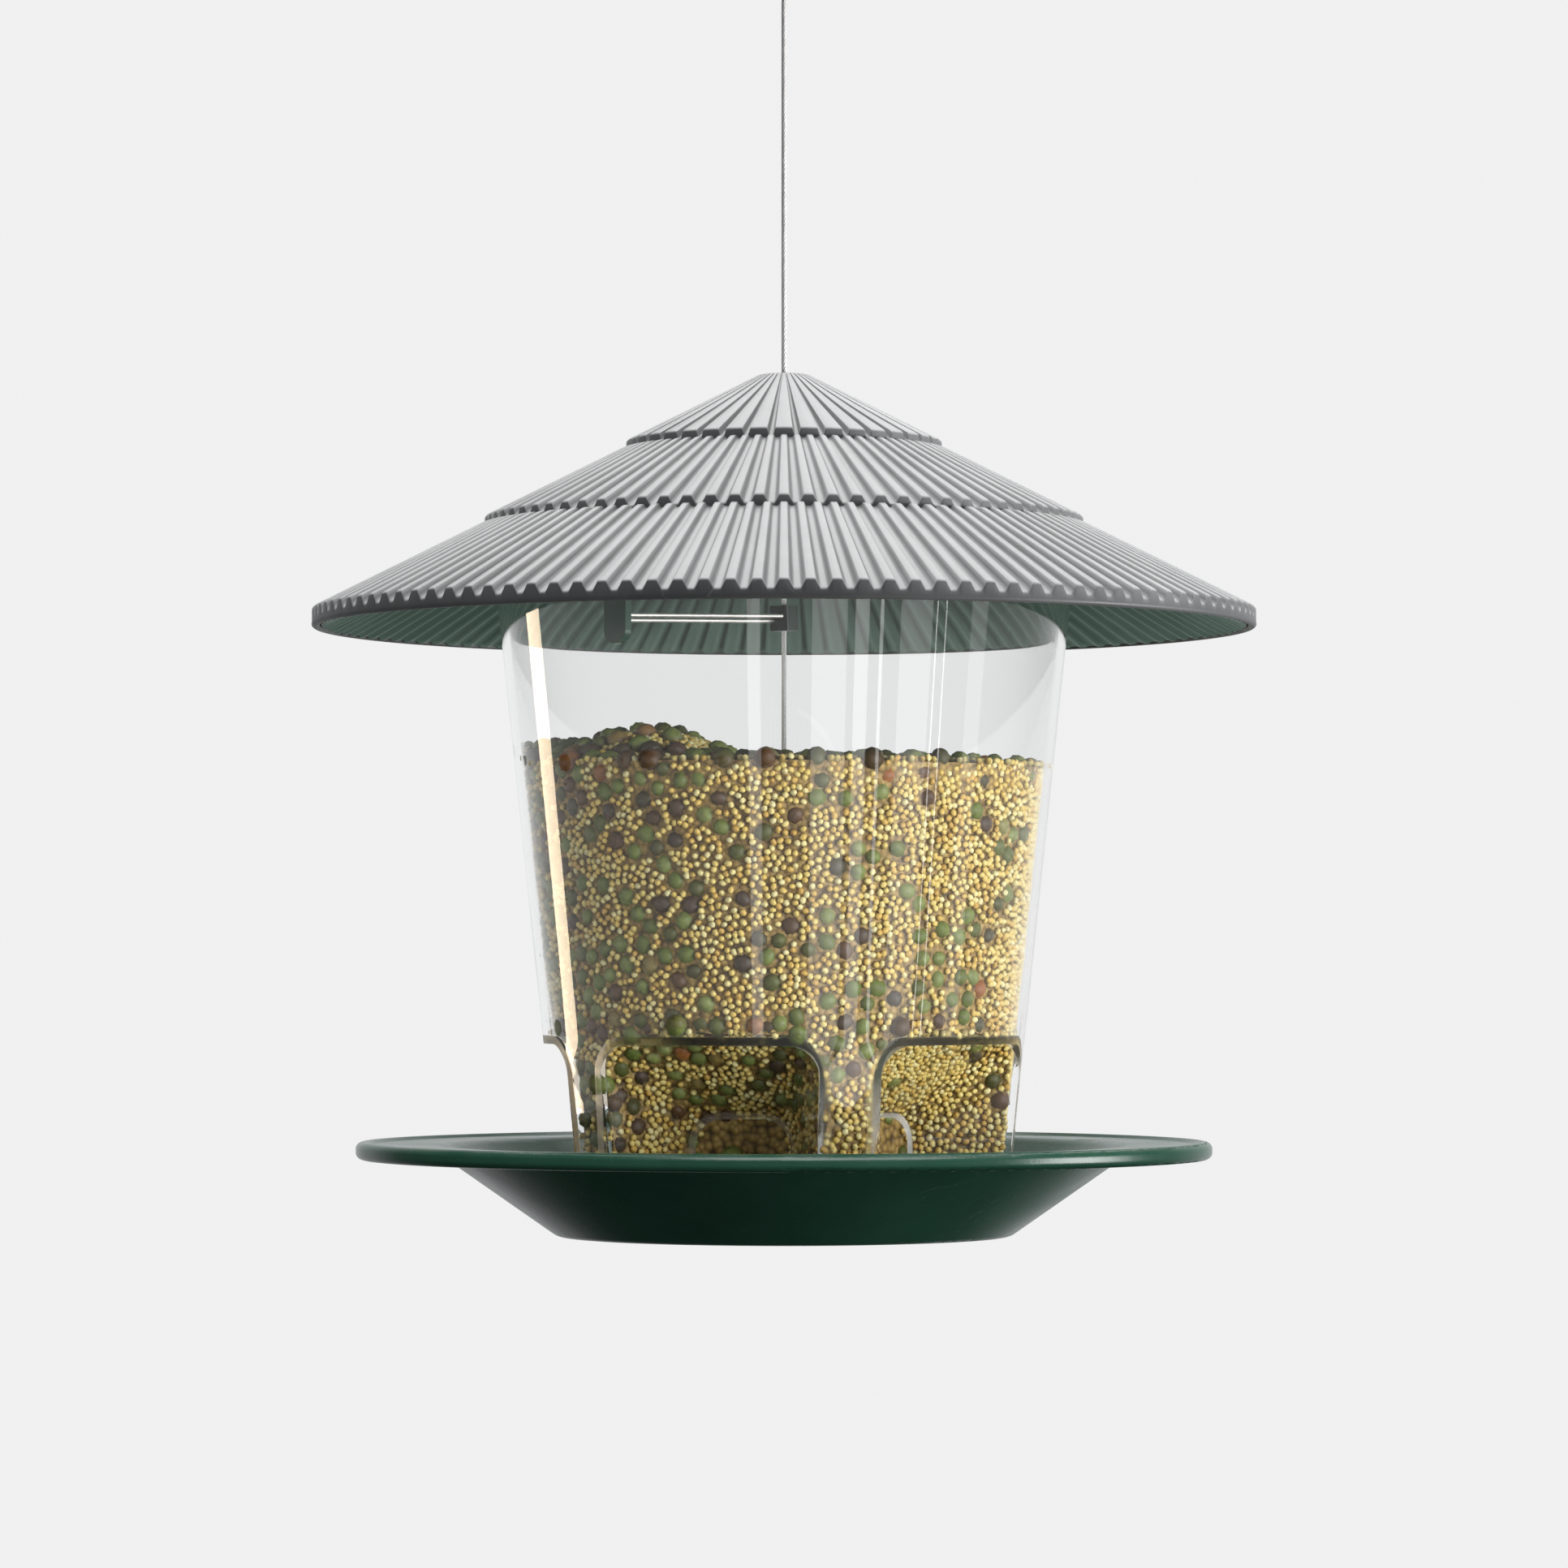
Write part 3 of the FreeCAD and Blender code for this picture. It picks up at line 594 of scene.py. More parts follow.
def turned_at_random(count, rng):
    """Random rotation matrices, from unit quaternions."""
    w, x, y, z = (q := rng.normal(size=(4, count))) / np.linalg.norm(q, axis=0)
    rows = [[1 - 2 * (y * y + z * z), 2 * (x * y - w * z), 2 * (x * z + w * y)],
            [2 * (x * y + w * z), 1 - 2 * (x * x + z * z), 2 * (y * z - w * x)],
            [2 * (x * z - w * y), 2 * (y * z + w * x), 1 - 2 * (x * x + y * y)]]
    return np.array(rows).transpose(2, 0, 1)


def seed_mesh(name, centres, outward, sizes, tone, template, rng):
    """One small ball per centre, stretched along its axes, turned at random.

    Each ball carries its tone and the direction that points out of the heap there.
    """
    points, triangles = template
    turns = turned_at_random(len(centres), rng)
    shaped = points[None] * sizes[:, None, :]
    placed = np.einsum("nij,nkj->nki", turns, shaped) + centres[:, None, :]
    faces = triangles[None] + len(points) * np.arange(len(centres))[:, None, None]
    mesh = new_mesh(name, placed.reshape(-1, 3), faces.reshape(-1, 3), sharp=None)
    add_values(mesh, "tone", np.repeat(tone, len(points)))
    layer = mesh.attributes.new("outward", "FLOAT_VECTOR", "POINT")
    directions = np.repeat(outward, len(points), axis=0).astype(np.float32)
    layer.data.foreach_set("vector", directions.ravel())
    return mesh


def waves(places, size, rng):
    """Smooth random value at each place: a mean of sine waves about as long as the size."""
    count = 14
    heading = rng.normal(size=(count, 3))
    heading *= 2 * np.pi / size / np.linalg.norm(heading, axis=1, keepdims=True)
    heading *= rng.uniform(0.6, 1.5, (count, 1))
    start = rng.uniform(0, 2 * np.pi, count)
    return np.sin(places @ heading.T + start).sum(axis=1) / math.sqrt(count / 2)


def seed_places(node, rng):
    """Places and normals spread over the part of a seed node's skin that can be seen."""
    points, triangles = joined_triangles(node)
    middle = points[triangles].mean(axis=1)
    radius = np.hypot(middle[:, 0], middle[:, 1])
    height = middle[:, 2] - FOOT
    seen = (height > SKIN_LOW) & ~((radius < HUB_R) & (height < HUB_TOP)) & (radius > AXIS_R)
    triangles = triangles[seen]
    area = np.linalg.norm(face_normals(points, triangles), axis=1).sum() / 2
    count = int(area / MILLET_SPACING ** 2 * MILLET_TRIES)
    places, normals = scattered(points, triangles, count, rng)
    kept = ~in_feed_hole(places)
    return places[kept], normals[kept]


def in_feed_hole(places):
    """Whether each place is in the open upper part of a feed hole, which stays an empty recess."""
    sector = 2 * np.pi / PORT_COUNT
    turn = np.arctan2(places[:, 0], -places[:, 1]) - math.radians(PORT_START)
    folded = (turn + sector / 2) % sector - sector / 2
    radius = np.hypot(places[:, 0], places[:, 1])
    aside, outward = radius * np.sin(folded), radius * np.cos(folded)
    height = places[:, 2] - FOOT
    return ((np.abs(aside) < HOLE_HALF_W - HOLE_SIDE_GAP) & (np.abs(outward - HOLE_U) < HOLE_DEPTH)
            & (height > HOLE_SILL) & (height < HOLE_TOP))


def pea_chance(places, normals, rng):
    """Chance that a pea lies at each place: drifts of peas, more of them to the left and on top."""
    left = -places[:, 0] / (75 * MM)
    drift = waves(places, 0.034, rng) + 0.6 * waves(places, 0.013, rng)
    chance = 0.50 + 0.66 * left + 0.30 * drift
    top = normals[:, 2] > LEVEL_NORMAL
    chance = np.where(top, 0.6 + 0.35 * left, chance)
    return np.clip(chance, 0.03, 0.97)


def add_seed(node, body, core_material, millet_material, pea_material):
    """Peas, millet round them and a core behind both, in the place of one CAD seed node."""
    rng = np.random.default_rng(SEED_SEED + len(node))
    points, triangles = joined_triangles(node)
    core = new_mesh(node + "_core", shrunk(points, triangles, CORE_DEPTH), triangles)
    add_piece(node + "_core", core, core_material, body, "seed", node)

    places, normals = seed_places(node, rng)
    on_top = normals[:, 2] > LEVEL_NORMAL

    peas = thinned(places[:PEA_TRIES], PEA_SPACING)
    peas = peas[rng.random(len(peas)) < pea_chance(places[peas], normals[peas], rng)]
    size = PEA_R * rng.uniform(0.84, 1.16, len(peas))
    deep = np.where(on_top[peas], 0.5 * MM, size - 0.45 * MM)
    pea_centres = places[peas] - normals[peas] * deep[:, None]
    stretch = size[:, None] * rng.uniform(0.9, 1.06, (len(peas), 3))
    tone = rng.random(len(peas))
    name = node + "_peas"
    mesh = seed_mesh(name, pea_centres, normals[peas], stretch, tone, ball(*PEA_BALL), rng)
    add_piece(name, mesh, pea_material, body, "seed")

    deep = np.where(on_top, 0.35 * MM, 0.65 * MM) + rng.uniform(0, 0.25 * MM, len(places))
    centres = places - normals * deep[:, None]
    apart = clear_of(centres, pea_centres, PEA_CLEAR)
    centres, normals = centres[apart], normals[apart]
    kept = thinned(centres, MILLET_SPACING)
    centres, normals = centres[kept], normals[kept]
    turn = np.argsort(np.arctan2(centres[:, 0], -centres[:, 1]))
    groups = np.array_split(turn, math.ceil(len(turn) / MILLET_PER_PIECE))
    for number, group in enumerate(groups, 1):
        size = MILLET_R * rng.uniform(0.9, 1.06, (len(group), 1))
        size = size * rng.uniform(0.95, 1.05, (len(group), 3))
        name = "%s_millet_%d" % (node, number)
        tone = rng.random(len(group))
        mesh = seed_mesh(name, centres[group], normals[group], size, tone, ball(*MILLET_BALL), rng)
        add_piece(name, mesh, millet_material, body, "seed")


# ================================================================ material nodes
def feed(tree, socket, value):
    """Links a socket to another one, or sets it to a value."""
    if isinstance(value, bpy.types.NodeSocket):
        tree.links.new(value, socket)
    else:
        socket.default_value = value


def connect(tree, node, **inputs):
    """Links or sets inputs of a node; _ stands for a space."""
    for name, value in inputs.items():
        feed(tree, node.inputs[name.replace("_", " ")], value)


def add_node(tree, kind, settings=None, **inputs):
    """New node of a kind, with its settings and inputs."""
    made = tree.nodes.new(kind)
    for name, value in (settings or {}).items():
        setattr(made, name, value)
    connect(tree, made, **inputs)
    return made


def object_place(tree):
    """Object coordinates."""
    return tree.nodes.new("ShaderNodeTexCoord").outputs["Object"]


def attribute(tree, name, output="Fac"):
    """What a mesh stores for each of its points."""
    return add_node(tree, "ShaderNodeAttribute", {"attribute_name": name}).outputs[output]


def facing_normal(tree):
    """Normal of the surface."""
    return tree.nodes.new("ShaderNodeNewGeometry").outputs["Normal"]


def blended(tree, factor, first, second):
    """Colour between two colours."""
    made = tree.nodes.new("ShaderNodeMix")
    made.data_type = "RGBA"
    for number, value in ((0, factor), (6, first), (7, second)):
        feed(tree, made.inputs[number], value)
    return made.outputs[2]


def math_node(tree, operation, first, second=0.5, clamp=False):
    """Result of a sum on two values."""
    made = tree.nodes.new("ShaderNodeMath")
    made.operation = operation
    made.use_clamp = clamp
    for socket, value in zip(made.inputs, (first, second)):
        feed(tree, socket, value)
    return made.outputs[0]


def ramped(tree, value, low, high, to_low=0.0, to_high=1.0):
    """Value moved from one range to another, and kept in it."""
    made = add_node(tree, "ShaderNodeMapRange", {"clamp": True}, Value=value, From_Min=low,
                    From_Max=high, To_Min=to_low, To_Max=to_high)
    return made.outputs[0]


def new_group(name, inputs, outputs):
    """Empty node group with number inputs and outputs, and its two ends."""
    group = bpy.data.node_groups.new(name, "ShaderNodeTree")
    for label, value in inputs.items():
        socket = group.interface.new_socket(label, in_out="INPUT", socket_type="NodeSocketFloat")
        socket.default_value = value
    for label in outputs:
        group.interface.new_socket(label, in_out="OUTPUT", socket_type="NodeSocketFloat")
    return group, group.nodes.new("NodeGroupInput"), group.nodes.new("NodeGroupOutput")


def moulded_grain_group():
    """Slow mottling and fine grain of moulded plastic, both from noise on object coordinates."""
    sizes = {"Mottle": 30.0, "Grain": 1800.0}
    group, given, out = new_group("moulded_grain", sizes, ("Tone", "Height"))
    place = object_place(group)
    slow = add_node(group, "ShaderNodeTexNoise", None, Vector=place, Scale=given.outputs["Mottle"],
                    Detail=3.0, Roughness=0.6)
    fine = add_node(group, "ShaderNodeTexNoise", None, Vector=place, Scale=given.outputs["Grain"],
                    Detail=2.0, Roughness=0.55)
    group.links.new(slow.outputs[0], out.inputs["Tone"])
    group.links.new(fine.outputs[0], out.inputs["Height"])
    return group


def scuffs_group():
    """Thin faint scratches: narrow bands of a stretched noise, broken up by a second one."""
    group, given, out = new_group("scuffs", {"Scale": 60.0, "Width": 0.01}, ("Mask",))
    place = object_place(group)
    do = partial(math_node, group)
    turned = add_node(group, "ShaderNodeMapping", None, Vector=place, Rotation=(0.6, 0.35, 0.8),
                      Scale=(1.0, 6.0, 1.4))
    lines = add_node(group, "ShaderNodeTexNoise", None, Vector=turned.outputs[0],
                     Scale=given.outputs["Scale"], Detail=1.0)
    patches = add_node(group, "ShaderNodeTexNoise", None, Vector=place, Scale=24.0, Detail=2.0)
    off = do("ABSOLUTE", do("SUBTRACT", lines.outputs[0], 0.5))
    thin = do("SUBTRACT", 1.0, do("DIVIDE", off, given.outputs["Width"]), True)
    where = ramped(group, patches.outputs[0], 0.55, 0.7)
    group.links.new(do("MULTIPLY", thin, where), out.inputs["Mask"])
    return group


def settled_dust_group():
    """Dust on faces that look up: the upward part of the normal times a patchy noise."""
    group, given, out = new_group("settled_dust", {"Amount": 0.5}, ("Mask",))
    do = partial(math_node, group)
    parts = add_node(group, "ShaderNodeSeparateXYZ", None, Vector=facing_normal(group)).outputs
    patches = add_node(group, "ShaderNodeTexNoise", None, Vector=object_place(group), Scale=90.0,
                       Detail=4.0)
    facing = ramped(group, parts["Z"], 0.2, 0.95)
    thick = ramped(group, patches.outputs[0], 0.38, 0.7)
    amount = do("MULTIPLY", do("MULTIPLY", facing, thick), given.outputs["Amount"])
    group.links.new(amount, out.inputs["Mask"])
    return group


GRAIN = moulded_grain_group()
SCUFFS = scuffs_group()
DUST = settled_dust_group()


def placed_group(tree, group, **values):
    """A shared group set into a material, with its own values."""
    made = tree.nodes.new("ShaderNodeGroup")
    made.node_tree = group
    for name, value in values.items():
        made.inputs[name].default_value = value
    return made


def new_material(name):
    """Material with an empty tree but for its Principled shader and output."""
    material = bpy.data.materials.new(name)
    material.use_nodes = True
    tree = material.node_tree
    return material, tree, tree.nodes["Principled BSDF"]


def bump(tree, height, distance, strength=1.0):
    """Normal of a height."""
    return add_node(tree, "ShaderNodeBump", None, Height=height, Distance=distance,
                    Strength=strength).outputs[0]


def moulded_plastic(name, dark, light, rough, mottle=35.0, grain=1500.0, grain_depth=0.00003,
                    scuff_tone=None, dust=0.0, coat=0.0, specular=0.5):
    """Moulded plastic: two near tones, fine grain, a few scuffs and a little dust."""
    material, tree, shader = new_material(name)
    texture = placed_group(tree, GRAIN, Mottle=mottle, Grain=grain)
    tone = ramped(tree, texture.outputs["Tone"], *TONES)
    colour = blended(tree, tone, dark, light)
    scuffs = placed_group(tree, SCUFFS, Scale=46.0, Width=0.006)
    if scuff_tone:
        share = math_node(tree, "MULTIPLY", scuffs.outputs["Mask"], 0.35)
        colour = blended(tree, share, colour, scuff_tone)
    if dust:
        settled = placed_group(tree, DUST, Amount=dust)
        colour = blended(tree, settled.outputs["Mask"], colour, DUST_COLOUR)
    roughness = ramped(tree, texture.outputs["Tone"], *GLOSS_SPAN, rough - 0.05, rough + 0.06)
    normal = bump(tree, texture.outputs["Height"], grain_depth)
    connect(tree, shader, Base_Color=colour, Roughness=roughness, Normal=normal, Coat_Weight=coat,
            Coat_Roughness=0.18, Specular_IOR_Level=specular)
    return material


def roof_plastic():
    """Grey roof plastic, painted lighter on the crests and darker on the ribs' sides and the rim,
    as painted shade.
    """
    material, tree, shader = new_material("grey_roof_plastic")
    texture = placed_group(tree, GRAIN, Mottle=42.0, Grain=1300.0)
    pale = attribute(tree, "pale")
    tone = ramped(tree, texture.outputs["Tone"], *TONES)
    low = blended(tree, tone, (0.115, 0.117, 0.12, 1), (0.15, 0.152, 0.155, 1))
    high = blended(tree, tone, (0.42, 0.423, 0.426, 1), (0.52, 0.523, 0.526, 1))
    # Painted shade: the paleness blends the dark grey into the light grey
    colour = blended(tree, pale, low, high)
    scuffs = placed_group(tree, SCUFFS, Scale=52.0, Width=0.008)
    share = math_node(tree, "MULTIPLY", scuffs.outputs["Mask"], 0.3)
    colour = blended(tree, share, colour, (0.6, 0.6, 0.6, 1))
    roughness = ramped(tree, texture.outputs["Tone"], *GLOSS_SPAN, 0.42, 0.56)
    normal = bump(tree, texture.outputs["Height"], 0.00004)
    connect(tree, shader, Base_Color=colour, Roughness=roughness, Normal=normal)
    return material


def liner_plastic():
    """Dark green liner plastic, painted greyer and paler outside the seat, as a painted sheen."""
    material, tree, shader = new_material("dark_green_liner")
    texture = placed_group(tree, GRAIN, Mottle=38.0, Grain=1500.0)
    pale = attribute(tree, "pale")
    tone = ramped(tree, texture.outputs["Tone"], *TONES)
    low = blended(tree, tone, (0.010, 0.046, 0.028, 1), (0.014, 0.058, 0.036, 1))
    high = blended(tree, tone, (0.034, 0.054, 0.044, 1), (0.044, 0.066, 0.054, 1))
    # Painted sheen: paler and greyer outside the seat
    colour = blended(tree, pale, low, high)
    roughness = ramped(tree, texture.outputs["Tone"], *GLOSS_SPAN, 0.34, 0.46)
    normal = bump(tree, texture.outputs["Height"], 0.00003)
    connect(tree, shader, Base_Color=colour, Roughness=roughness, Normal=normal)
    return material


def arch_band(group, aside, height, half_width, top, corner, low, high):
    """Mask where the distance outside an arch's sides, top and rounded corners is in a range."""
    do = partial(math_node, group)
    across = do("MAXIMUM", do("SUBTRACT", aside, half_width - corner), 0.0)
    above = do("MAXIMUM", do("SUBTRACT", height, top - corner), 0.0)
    away = do("SQRT", do("ADD", do("MULTIPLY", across, across), do("MULTIPLY", above, above)))
    past = do("GREATER_THAN", away, corner + low)
    within = do("LESS_THAN", away, corner + high)
    return do("MULTIPLY", past, within)


def port_edges_group():
    """Bands along the edges of the five port arches and of the feed holes behind them.

    The angle from the front is folded into one port's sector, which gives the distance across it
    and out from the axis. Each band lies between the arch and the wall's thickness outside it.
    """
    group, _, out = new_group("port_edges", {}, ("Mask",))
    do = partial(math_node, group)
    parts = add_node(group, "ShaderNodeSeparateXYZ", None, Vector=object_place(group)).outputs
    x, y = parts["X"], parts["Y"]
    turn = do("ARCTAN2", x, do("MULTIPLY", y, -1.0))
    sector = 2 * math.pi / PORT_COUNT
    moved = do("SUBTRACT", turn, math.radians(PORT_START) - sector / 2 - 2 * math.pi)
    folded = do("SUBTRACT", do("MODULO", moved, sector), sector / 2)
    radius = do("SQRT", do("ADD", do("MULTIPLY", x, x), do("MULTIPLY", y, y)))
    aside = do("ABSOLUTE", do("MULTIPLY", radius, do("SINE", folded)))
    height = do("SUBTRACT", parts["Z"], FOOT)
    outward = do("MULTIPLY", radius, do("COSINE", folded))
    mouth = arch_band(group, aside, height, PORT_HALF_W, PORT_TOP, PORT_CORNER_R,
                      -0.2 * MM, RESERVOIR_WALL)
    mouth = do("MULTIPLY", mouth, do("GREATER_THAN", radius, PORT_LEG_R))
    hole = arch_band(group, aside, height, HOLE_HALF_W, HOLE_TOP, HOLE_CORNER_R,
                     -0.5 * MM, 1.1 * RESERVOIR_WALL)
    hole = do("MULTIPLY", hole, do("LESS_THAN", outward, HOLE_U + 1.2 * MM))
    group.links.new(do("MAXIMUM", mouth, hole), out.inputs["Mask"])
    return group


def clear_plastic():
    """Clear plastic wall that lets lamps through, with a few hairline scuffs."""
    material, tree, shader = new_material("clear_reservoir_plastic")
    scuffs = placed_group(tree, SCUFFS, Scale=70.0, Width=0.006)
    edges = placed_group(tree, port_edges_group())
    scuffed = ramped(tree, scuffs.outputs["Mask"], 0.0, 1.0, 0.015, 0.22)
    satin = math_node(tree, "MULTIPLY", edges.outputs["Mask"], SATIN_EDGE)
    roughness = math_node(tree, "MAXIMUM", scuffed, satin)
    texture = placed_group(tree, GRAIN, Mottle=16.0, Grain=160.0)
    normal = bump(tree, texture.outputs["Tone"], 0.00003)
    connect(tree, shader, Base_Color=(0.985, 0.99, 0.99, 1), Roughness=roughness, Normal=normal,
            IOR=1.49, Transmission_Weight=1.0)
    ray = tree.nodes.new("ShaderNodeLightPath").outputs
    passing = math_node(tree, "MAXIMUM", ray["Is Shadow Ray"], ray["Is Diffuse Ray"])
    through = add_node(tree, "ShaderNodeBsdfTransparent", None, Color=(0.96, 0.97, 0.97, 1))
    mixed = tree.nodes.new("ShaderNodeMixShader")
    tree.links.new(passing, mixed.inputs[0])
    tree.links.new(shader.outputs[0], mixed.inputs[1])
    tree.links.new(through.outputs[0], mixed.inputs[2])
    tree.links.new(mixed.outputs[0], tree.nodes["Material Output"].inputs["Surface"])
    return material


def tone_colours(tree, value, stops):
    """Colour by a value, from stops of (place, colour)."""
    ramp = tree.nodes.new("ShaderNodeValToRGB")
    tree.links.new(value, ramp.inputs[0])
    bands = ramp.color_ramp.elements
    while len(bands) < len(stops):
        bands.new(0.5)
    for band, (place, colour) in zip(bands, stops):
        band.position = place
        band.color = (*colour, 1)
    return ramp.outputs[0]


def seed_skin(name, stops, rough, speckle, coat):
    """Skin of one kind of seed: its tone picks the colour, with speckles.

    The skin is painted darker where it turns away from the outside of the heap: painted shade
    towards each seed's edge.
    """
    material, tree, shader = new_material(name)
    colour = tone_colours(tree, attribute(tree, "tone"), stops)
    texture = placed_group(tree, GRAIN, Mottle=650.0, Grain=2600.0)
    darker = ramped(tree, texture.outputs["Tone"], 0.45, 0.75, 0.0, speckle)
    colour = blended(tree, darker, colour, SEED_DUST)
    # Painted shade: darker where the normal turns away from the heap's outward direction
    facing = add_node(tree, "ShaderNodeVectorMath", {"operation": "DOT_PRODUCT"})
    tree.links.new(facing_normal(tree), facing.inputs[0])
    tree.links.new(attribute(tree, "outward", "Vector"), facing.inputs[1])
    edge = ramped(tree, facing.outputs["Value"], 0.6, 0.05, 0.0, EDGE_SHADE)
    colour = blended(tree, edge, colour, SEED_SHADE)
    normal = bump(tree, texture.outputs["Tone"], 0.00012)
    connect(tree, shader, Base_Color=colour, Roughness=rough, Normal=normal, Coat_Weight=coat)
    return material


def seed_core_material():
    """Deeper seed seen in the gaps, painted darker than the skin as painted shade: cells as wide as
    a millet seed, darkest between them.
    """
    material, tree, shader = new_material("seed_core")
    cells = add_node(tree, "ShaderNodeTexVoronoi", None, Vector=object_place(tree), Scale=480.0)
    # Painted shade: the cells darken towards their edges
    colour = tone_colours(tree, cells.outputs["Distance"], (
        (0.0, (0.60, 0.42, 0.14)), (0.45, (0.36, 0.23, 0.07)), (0.85, (0.10, 0.06, 0.02))))
    round_top = math_node(tree, "SUBTRACT", 1.0, cells.outputs["Distance"])
    connect(tree, shader, Base_Color=colour, Roughness=0.6, Normal=bump(tree, round_top, 0.0008))
    return material


def drawn_metal(name, dark, light, rough, scale=900.0):
    """Metal drawn or pressed: a fine noise turns its tone and roughness."""
    material, tree, shader = new_material(name)
    texture = placed_group(tree, GRAIN, Mottle=scale / 3, Grain=scale * 2)
    colour = blended(tree, texture.outputs["Tone"], dark, light)
    roughness = ramped(tree, texture.outputs["Height"], 0.3, 0.7, rough - 0.06, rough + 0.1)
    normal = bump(tree, texture.outputs["Height"], 0.00001)
    connect(tree, shader, Base_Color=colour, Roughness=roughness, Normal=normal, Metallic=1.0)
    return material


# ================================================================ studio
def add_camera():
    """Camera in front of the feeder at the height of its reservoir, tilted up a little."""
    data = bpy.data.cameras.new("front_camera")
    data.lens = CAMERA_LENS
    data.sensor_width = CAMERA_SENSOR
    camera = bpy.data.objects.new("front_camera", data)
    camera.location = (0, -CAMERA_DISTANCE, FOOT + CAMERA_HEIGHT)
    camera.rotation_euler = (math.radians(90 + CAMERA_TILT), 0, 0)
    bpy.context.scene.collection.objects.link(camera)
    bpy.context.scene.camera = camera


def add_lamp(name, place, target, width, height, radiance, lights=(), colour=(1, 1, 1)):
    """Rectangular softbox at a place, aimed at a target, for the given pieces or for all."""
    data = bpy.data.lights.new(name, "AREA")
    data.shape = "RECTANGLE"
    data.size = width
    data.size_y = height
    data.energy = radiance * math.pi * width * height
    data.color = colour
    lamp = bpy.data.objects.new(name, data)
    lamp.location = place
    aim = np.array(target, float) - np.array(place, float)
    yaw = math.atan2(aim[1], aim[0]) - math.pi / 2
    pitch = math.atan2(aim[2], math.hypot(aim[0], aim[1])) + math.pi / 2
    lamp.rotation_euler = (pitch, 0, yaw)
    lamp.visible_camera = False
    lamp.visible_transmission = False
    bpy.context.scene.collection.objects.link(lamp)
    if lights:
        lit = bpy.data.collections.new(name + "_lights")
        for piece in lights:
            lit.objects.link(piece)
        lamp.light_linking.receiver_collection = lit


def add_strip(name, facing, width, radiance, colour, wall):
    """Tall narrow lamp whose reflection stands on the reservoir at an angle from the front.

    Seen from the front, a wall that faces that angle mirrors what lies at twice the angle, and
    lower down, because the wall leans outwards.
    """
    turn = 2 * math.radians(facing)
    low = STRIP_DISTANCE * math.tan(2 * RESERVOIR_LEAN) * math.cos(math.radians(facing))
    height = FOOT + STRIP_MIDDLE
    place = (STRIP_DISTANCE * math.sin(turn), -STRIP_DISTANCE * math.cos(turn), height - low)
    add_lamp(name, place, (0, 0, height), width, STRIP_HEIGHT, radiance, [wall], colour)


def add_world():
    """Plain bright backdrop for what is seen directly or through the clear wall.

    Matt surfaces get an even dim light, and glossy ones mirror a room that is dark in front of
    the feeder and bright behind it.
    """
    world = bpy.data.worlds.new("studio")
    bpy.context.scene.world = world
    world.use_nodes = True
    tree = world.node_tree
    tree.nodes.clear()
    do = partial(math_node, tree)
    ray = tree.nodes.new("ShaderNodeLightPath").outputs
    heading = tree.nodes.new("ShaderNodeTexCoord").outputs["Generated"]
    parts = add_node(tree, "ShaderNodeSeparateXYZ", None, Vector=heading).outputs
    behind = ramped(tree, parts["Y"], 0.55, 0.95, MIRRORED_FRONT, MIRRORED_BACK)
    above = ramped(tree, parts["Z"], -0.6, -0.2, MIRRORED_BELOW, 1.0)
    glossy = ray["Is Glossy Ray"]
    light = do("MULTIPLY_ADD", glossy, do("MULTIPLY", behind, above))
    tree.links.new(do("MULTIPLY", do("SUBTRACT", 1.0, glossy), AMBIENT), light.node.inputs[2])
    ambient = add_node(tree, "ShaderNodeBackground", None, Color=AMBIENT_COLOUR, Strength=light)
    backdrop = add_node(tree, "ShaderNodeBackground", None, Color=(1, 1, 1, 1), Strength=BACKDROP)
    mixed = tree.nodes.new("ShaderNodeMixShader")
    seen = do("MAXIMUM", ray["Is Camera Ray"], ray["Is Transmission Ray"])
    for socket, output in zip(mixed.inputs, (seen, ambient.outputs[0], backdrop.outputs[0])):
        tree.links.new(output, socket)
    tree.links.new(mixed.outputs[0], tree.nodes.new("ShaderNodeOutputWorld").inputs[0])


def add_floor():
    """Plain pale floor well below the hanging feeder, in the backdrop's own tone.

    It is a flat square that shows only from above, so the feeder can be seen from underneath.
    """
    corners = np.array([(-1, -1, 0), (1, -1, 0), (1, 1, 0), (-1, 1, 0)]) * FLOOR_HALF
    mesh = new_mesh("floor", corners + (0, 0, FOOT - FLOOR_DROP), np.array([[0, 1, 2, 3]]))
    floor = bpy.data.objects.new("floor", mesh)
    bpy.context.scene.collection.objects.link(floor)
    material, tree, shader = new_material("pale_floor")
    facing = tree.nodes.new("ShaderNodeNewGeometry").outputs["Backfacing"]
    connect(tree, shader, Base_Color=(0, 0, 0, 1), Specular_IOR_Level=0.0,
            Emission_Color=(1, 1, 1, 1), Emission_Strength=BACKDROP,
            Alpha=math_node(tree, "SUBTRACT", 1.0, facing))
    material.cycles.emission_sampling = "NONE"
    mesh.materials.append(material)
    floor.visible_diffuse = floor.visible_glossy = floor.visible_shadow = False
    floor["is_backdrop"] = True


# ================================================================ making
add_camera()

line = route_points(CABLE_ROUTE)
steel = drawn_metal("cable_steel", (0.62, 0.62, 0.61, 1), (0.86, 0.85, 0.84, 1), 0.42)
cable = add_piece("cable_rope", cable_mesh(line), steel, "hung_feeder", "cable_steel", "cable")

add_piece("roof_tiers", roof_mesh(), roof_plastic(), "roof", "grey_plastic", "roof_shell")
add_piece("roof_underside", liner_mesh(), liner_plastic(), "roof", "liner_plastic", "roof_liner")

millet_skin = seed_skin("millet_skin", MILLET_TONES, 0.36, 0.08, 0.16)
pea_skin = seed_skin("pea_skin", PEA_TONES, 0.48, 0.5, 0.1)
core = seed_core_material()
add_seed("seed_fill", "hung_feeder", core, millet_skin, pea_skin)
add_seed("seed_spills", "hung_feeder", core, millet_skin, pea_skin)

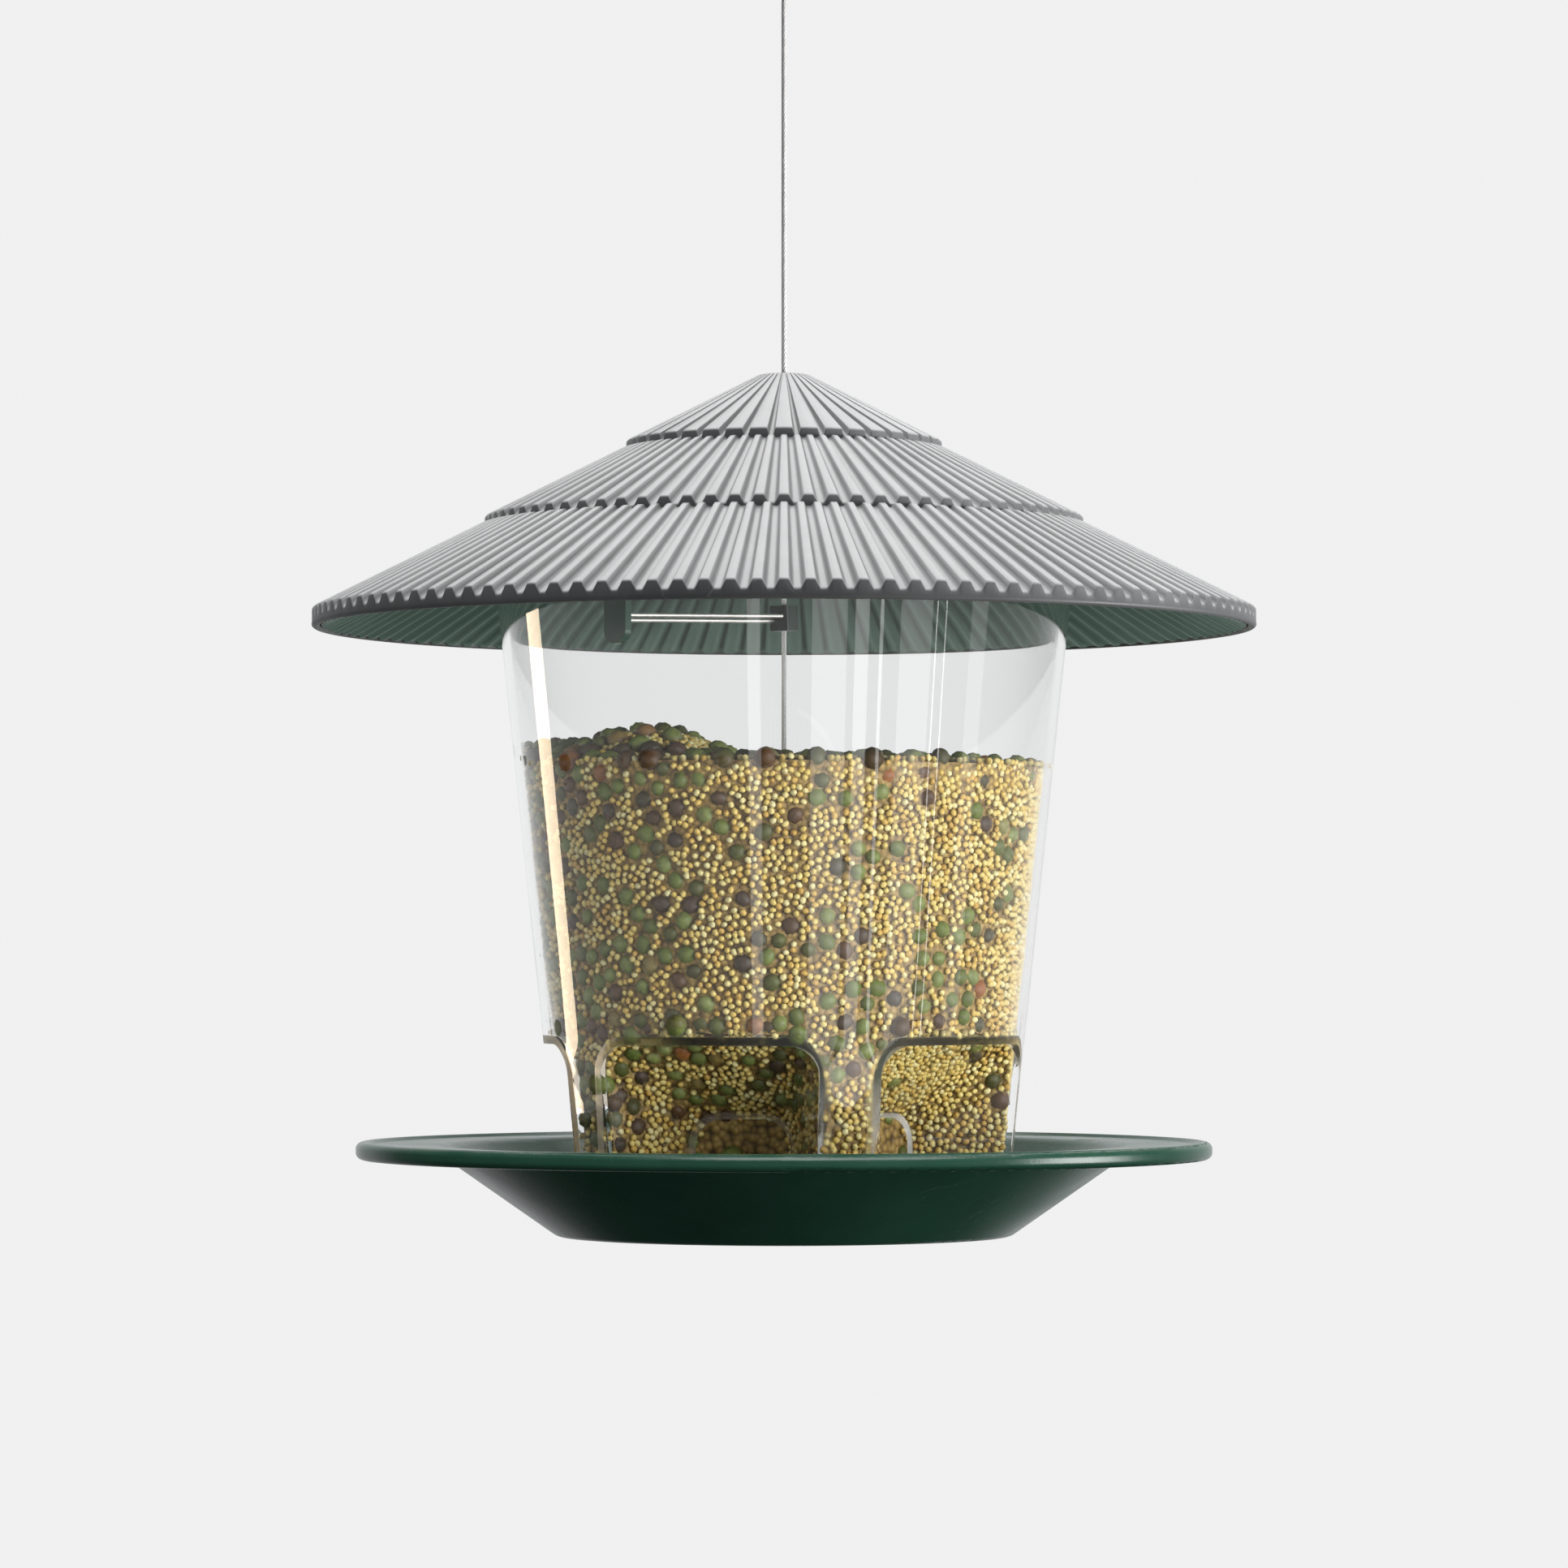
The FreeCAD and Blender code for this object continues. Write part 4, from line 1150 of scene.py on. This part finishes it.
tray_green = moulded_plastic(
    "dark_green_tray", (0.012, 0.046, 0.029, 1), (0.015, 0.058, 0.037, 1), 0.27,
    scuff_tone=(0.16, 0.22, 0.19, 1), dust=0.06, specular=0.4)
grip_green = moulded_plastic(
    "green_lock_plastic", (0.015, 0.06, 0.035, 1), (0.02, 0.075, 0.045, 1), 0.25, coat=0.2)
dark_grip = moulded_plastic(
    "dark_grip_plastic", (0.006, 0.014, 0.01, 1), (0.009, 0.02, 0.014, 1), 0.35)
bush_grey = moulded_plastic("bush_plastic", (0.12, 0.12, 0.125, 1), (0.17, 0.17, 0.175, 1), 0.4)
fitting_grey = drawn_metal("crimped_aluminium", (0.5, 0.5, 0.5, 1), (0.68, 0.68, 0.67, 1), 0.38)
thimble_steel = drawn_metal("pressed_steel", (0.42, 0.42, 0.42, 1), (0.62, 0.61, 0.6, 1), 0.3)
spring_steel = drawn_metal("spring_wire", (0.8, 0.78, 0.74, 1), (0.95, 0.93, 0.89, 1), 0.42)

CARRIED = {
    "tray": tray_green,
    "reservoir": clear_plastic(),
    "lock_tongue": grip_green,
    "cable_grip": dark_grip,
    "lock_spring": spring_steel,
    "roof_bush": bush_grey,
    "top_ferrule": fitting_grey,
    "anchor_stop": fitting_grey,
    "eye_thimble": thimble_steel,
    "anchor_washer": thimble_steel,
}
for name, material in CARRIED.items():
    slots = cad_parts[name].data.materials
    slots.clear()
    slots.append(material)

add_world()
add_floor()
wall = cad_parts["reservoir"]
others = [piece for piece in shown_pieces() if piece is not wall]
seeds = [piece for piece in others if piece.name.startswith("seed_")]
LIT = {
    "all": (),
    "all but seed": [piece for piece in others if piece not in seeds],
    "liner": [piece for piece in others if piece.name == "roof_underside"],
    "tray": [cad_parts["tray"]],
    "inside": seeds + [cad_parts["lock_spring"], cable],
}
for name, (x, y, up), aim, width, height, radiance, lit in LAMPS:
    add_lamp(name, (x, y, FOOT + up), (0, 0, FOOT + aim), width, height, radiance, LIT[lit])
for turn, radiance in SEED_LIGHTS:
    bearing = math.radians(turn)
    place = (SEED_LAMP_DISTANCE * math.sin(bearing), -SEED_LAMP_DISTANCE * math.cos(bearing),
             FOOT + SEED_LAMP_HEIGHT)
    add_lamp("seed_lamp_%d" % turn, place, (0, 0, FOOT + MIDDLE), *SEED_LAMP_SIZE, radiance,
             LIT["inside"])
for number, strip in enumerate(STRIPS):
    add_strip("strip_%d" % number, *strip, wall)

scene = bpy.context.scene
scene.view_settings.view_transform = "Standard"
scene.view_settings.look = "None"
scene.cycles.max_bounces = BOUNCES
scene.cycles.transmission_bounces = BOUNCES
scene.cycles.glossy_bounces = GLOSSY_BOUNCES
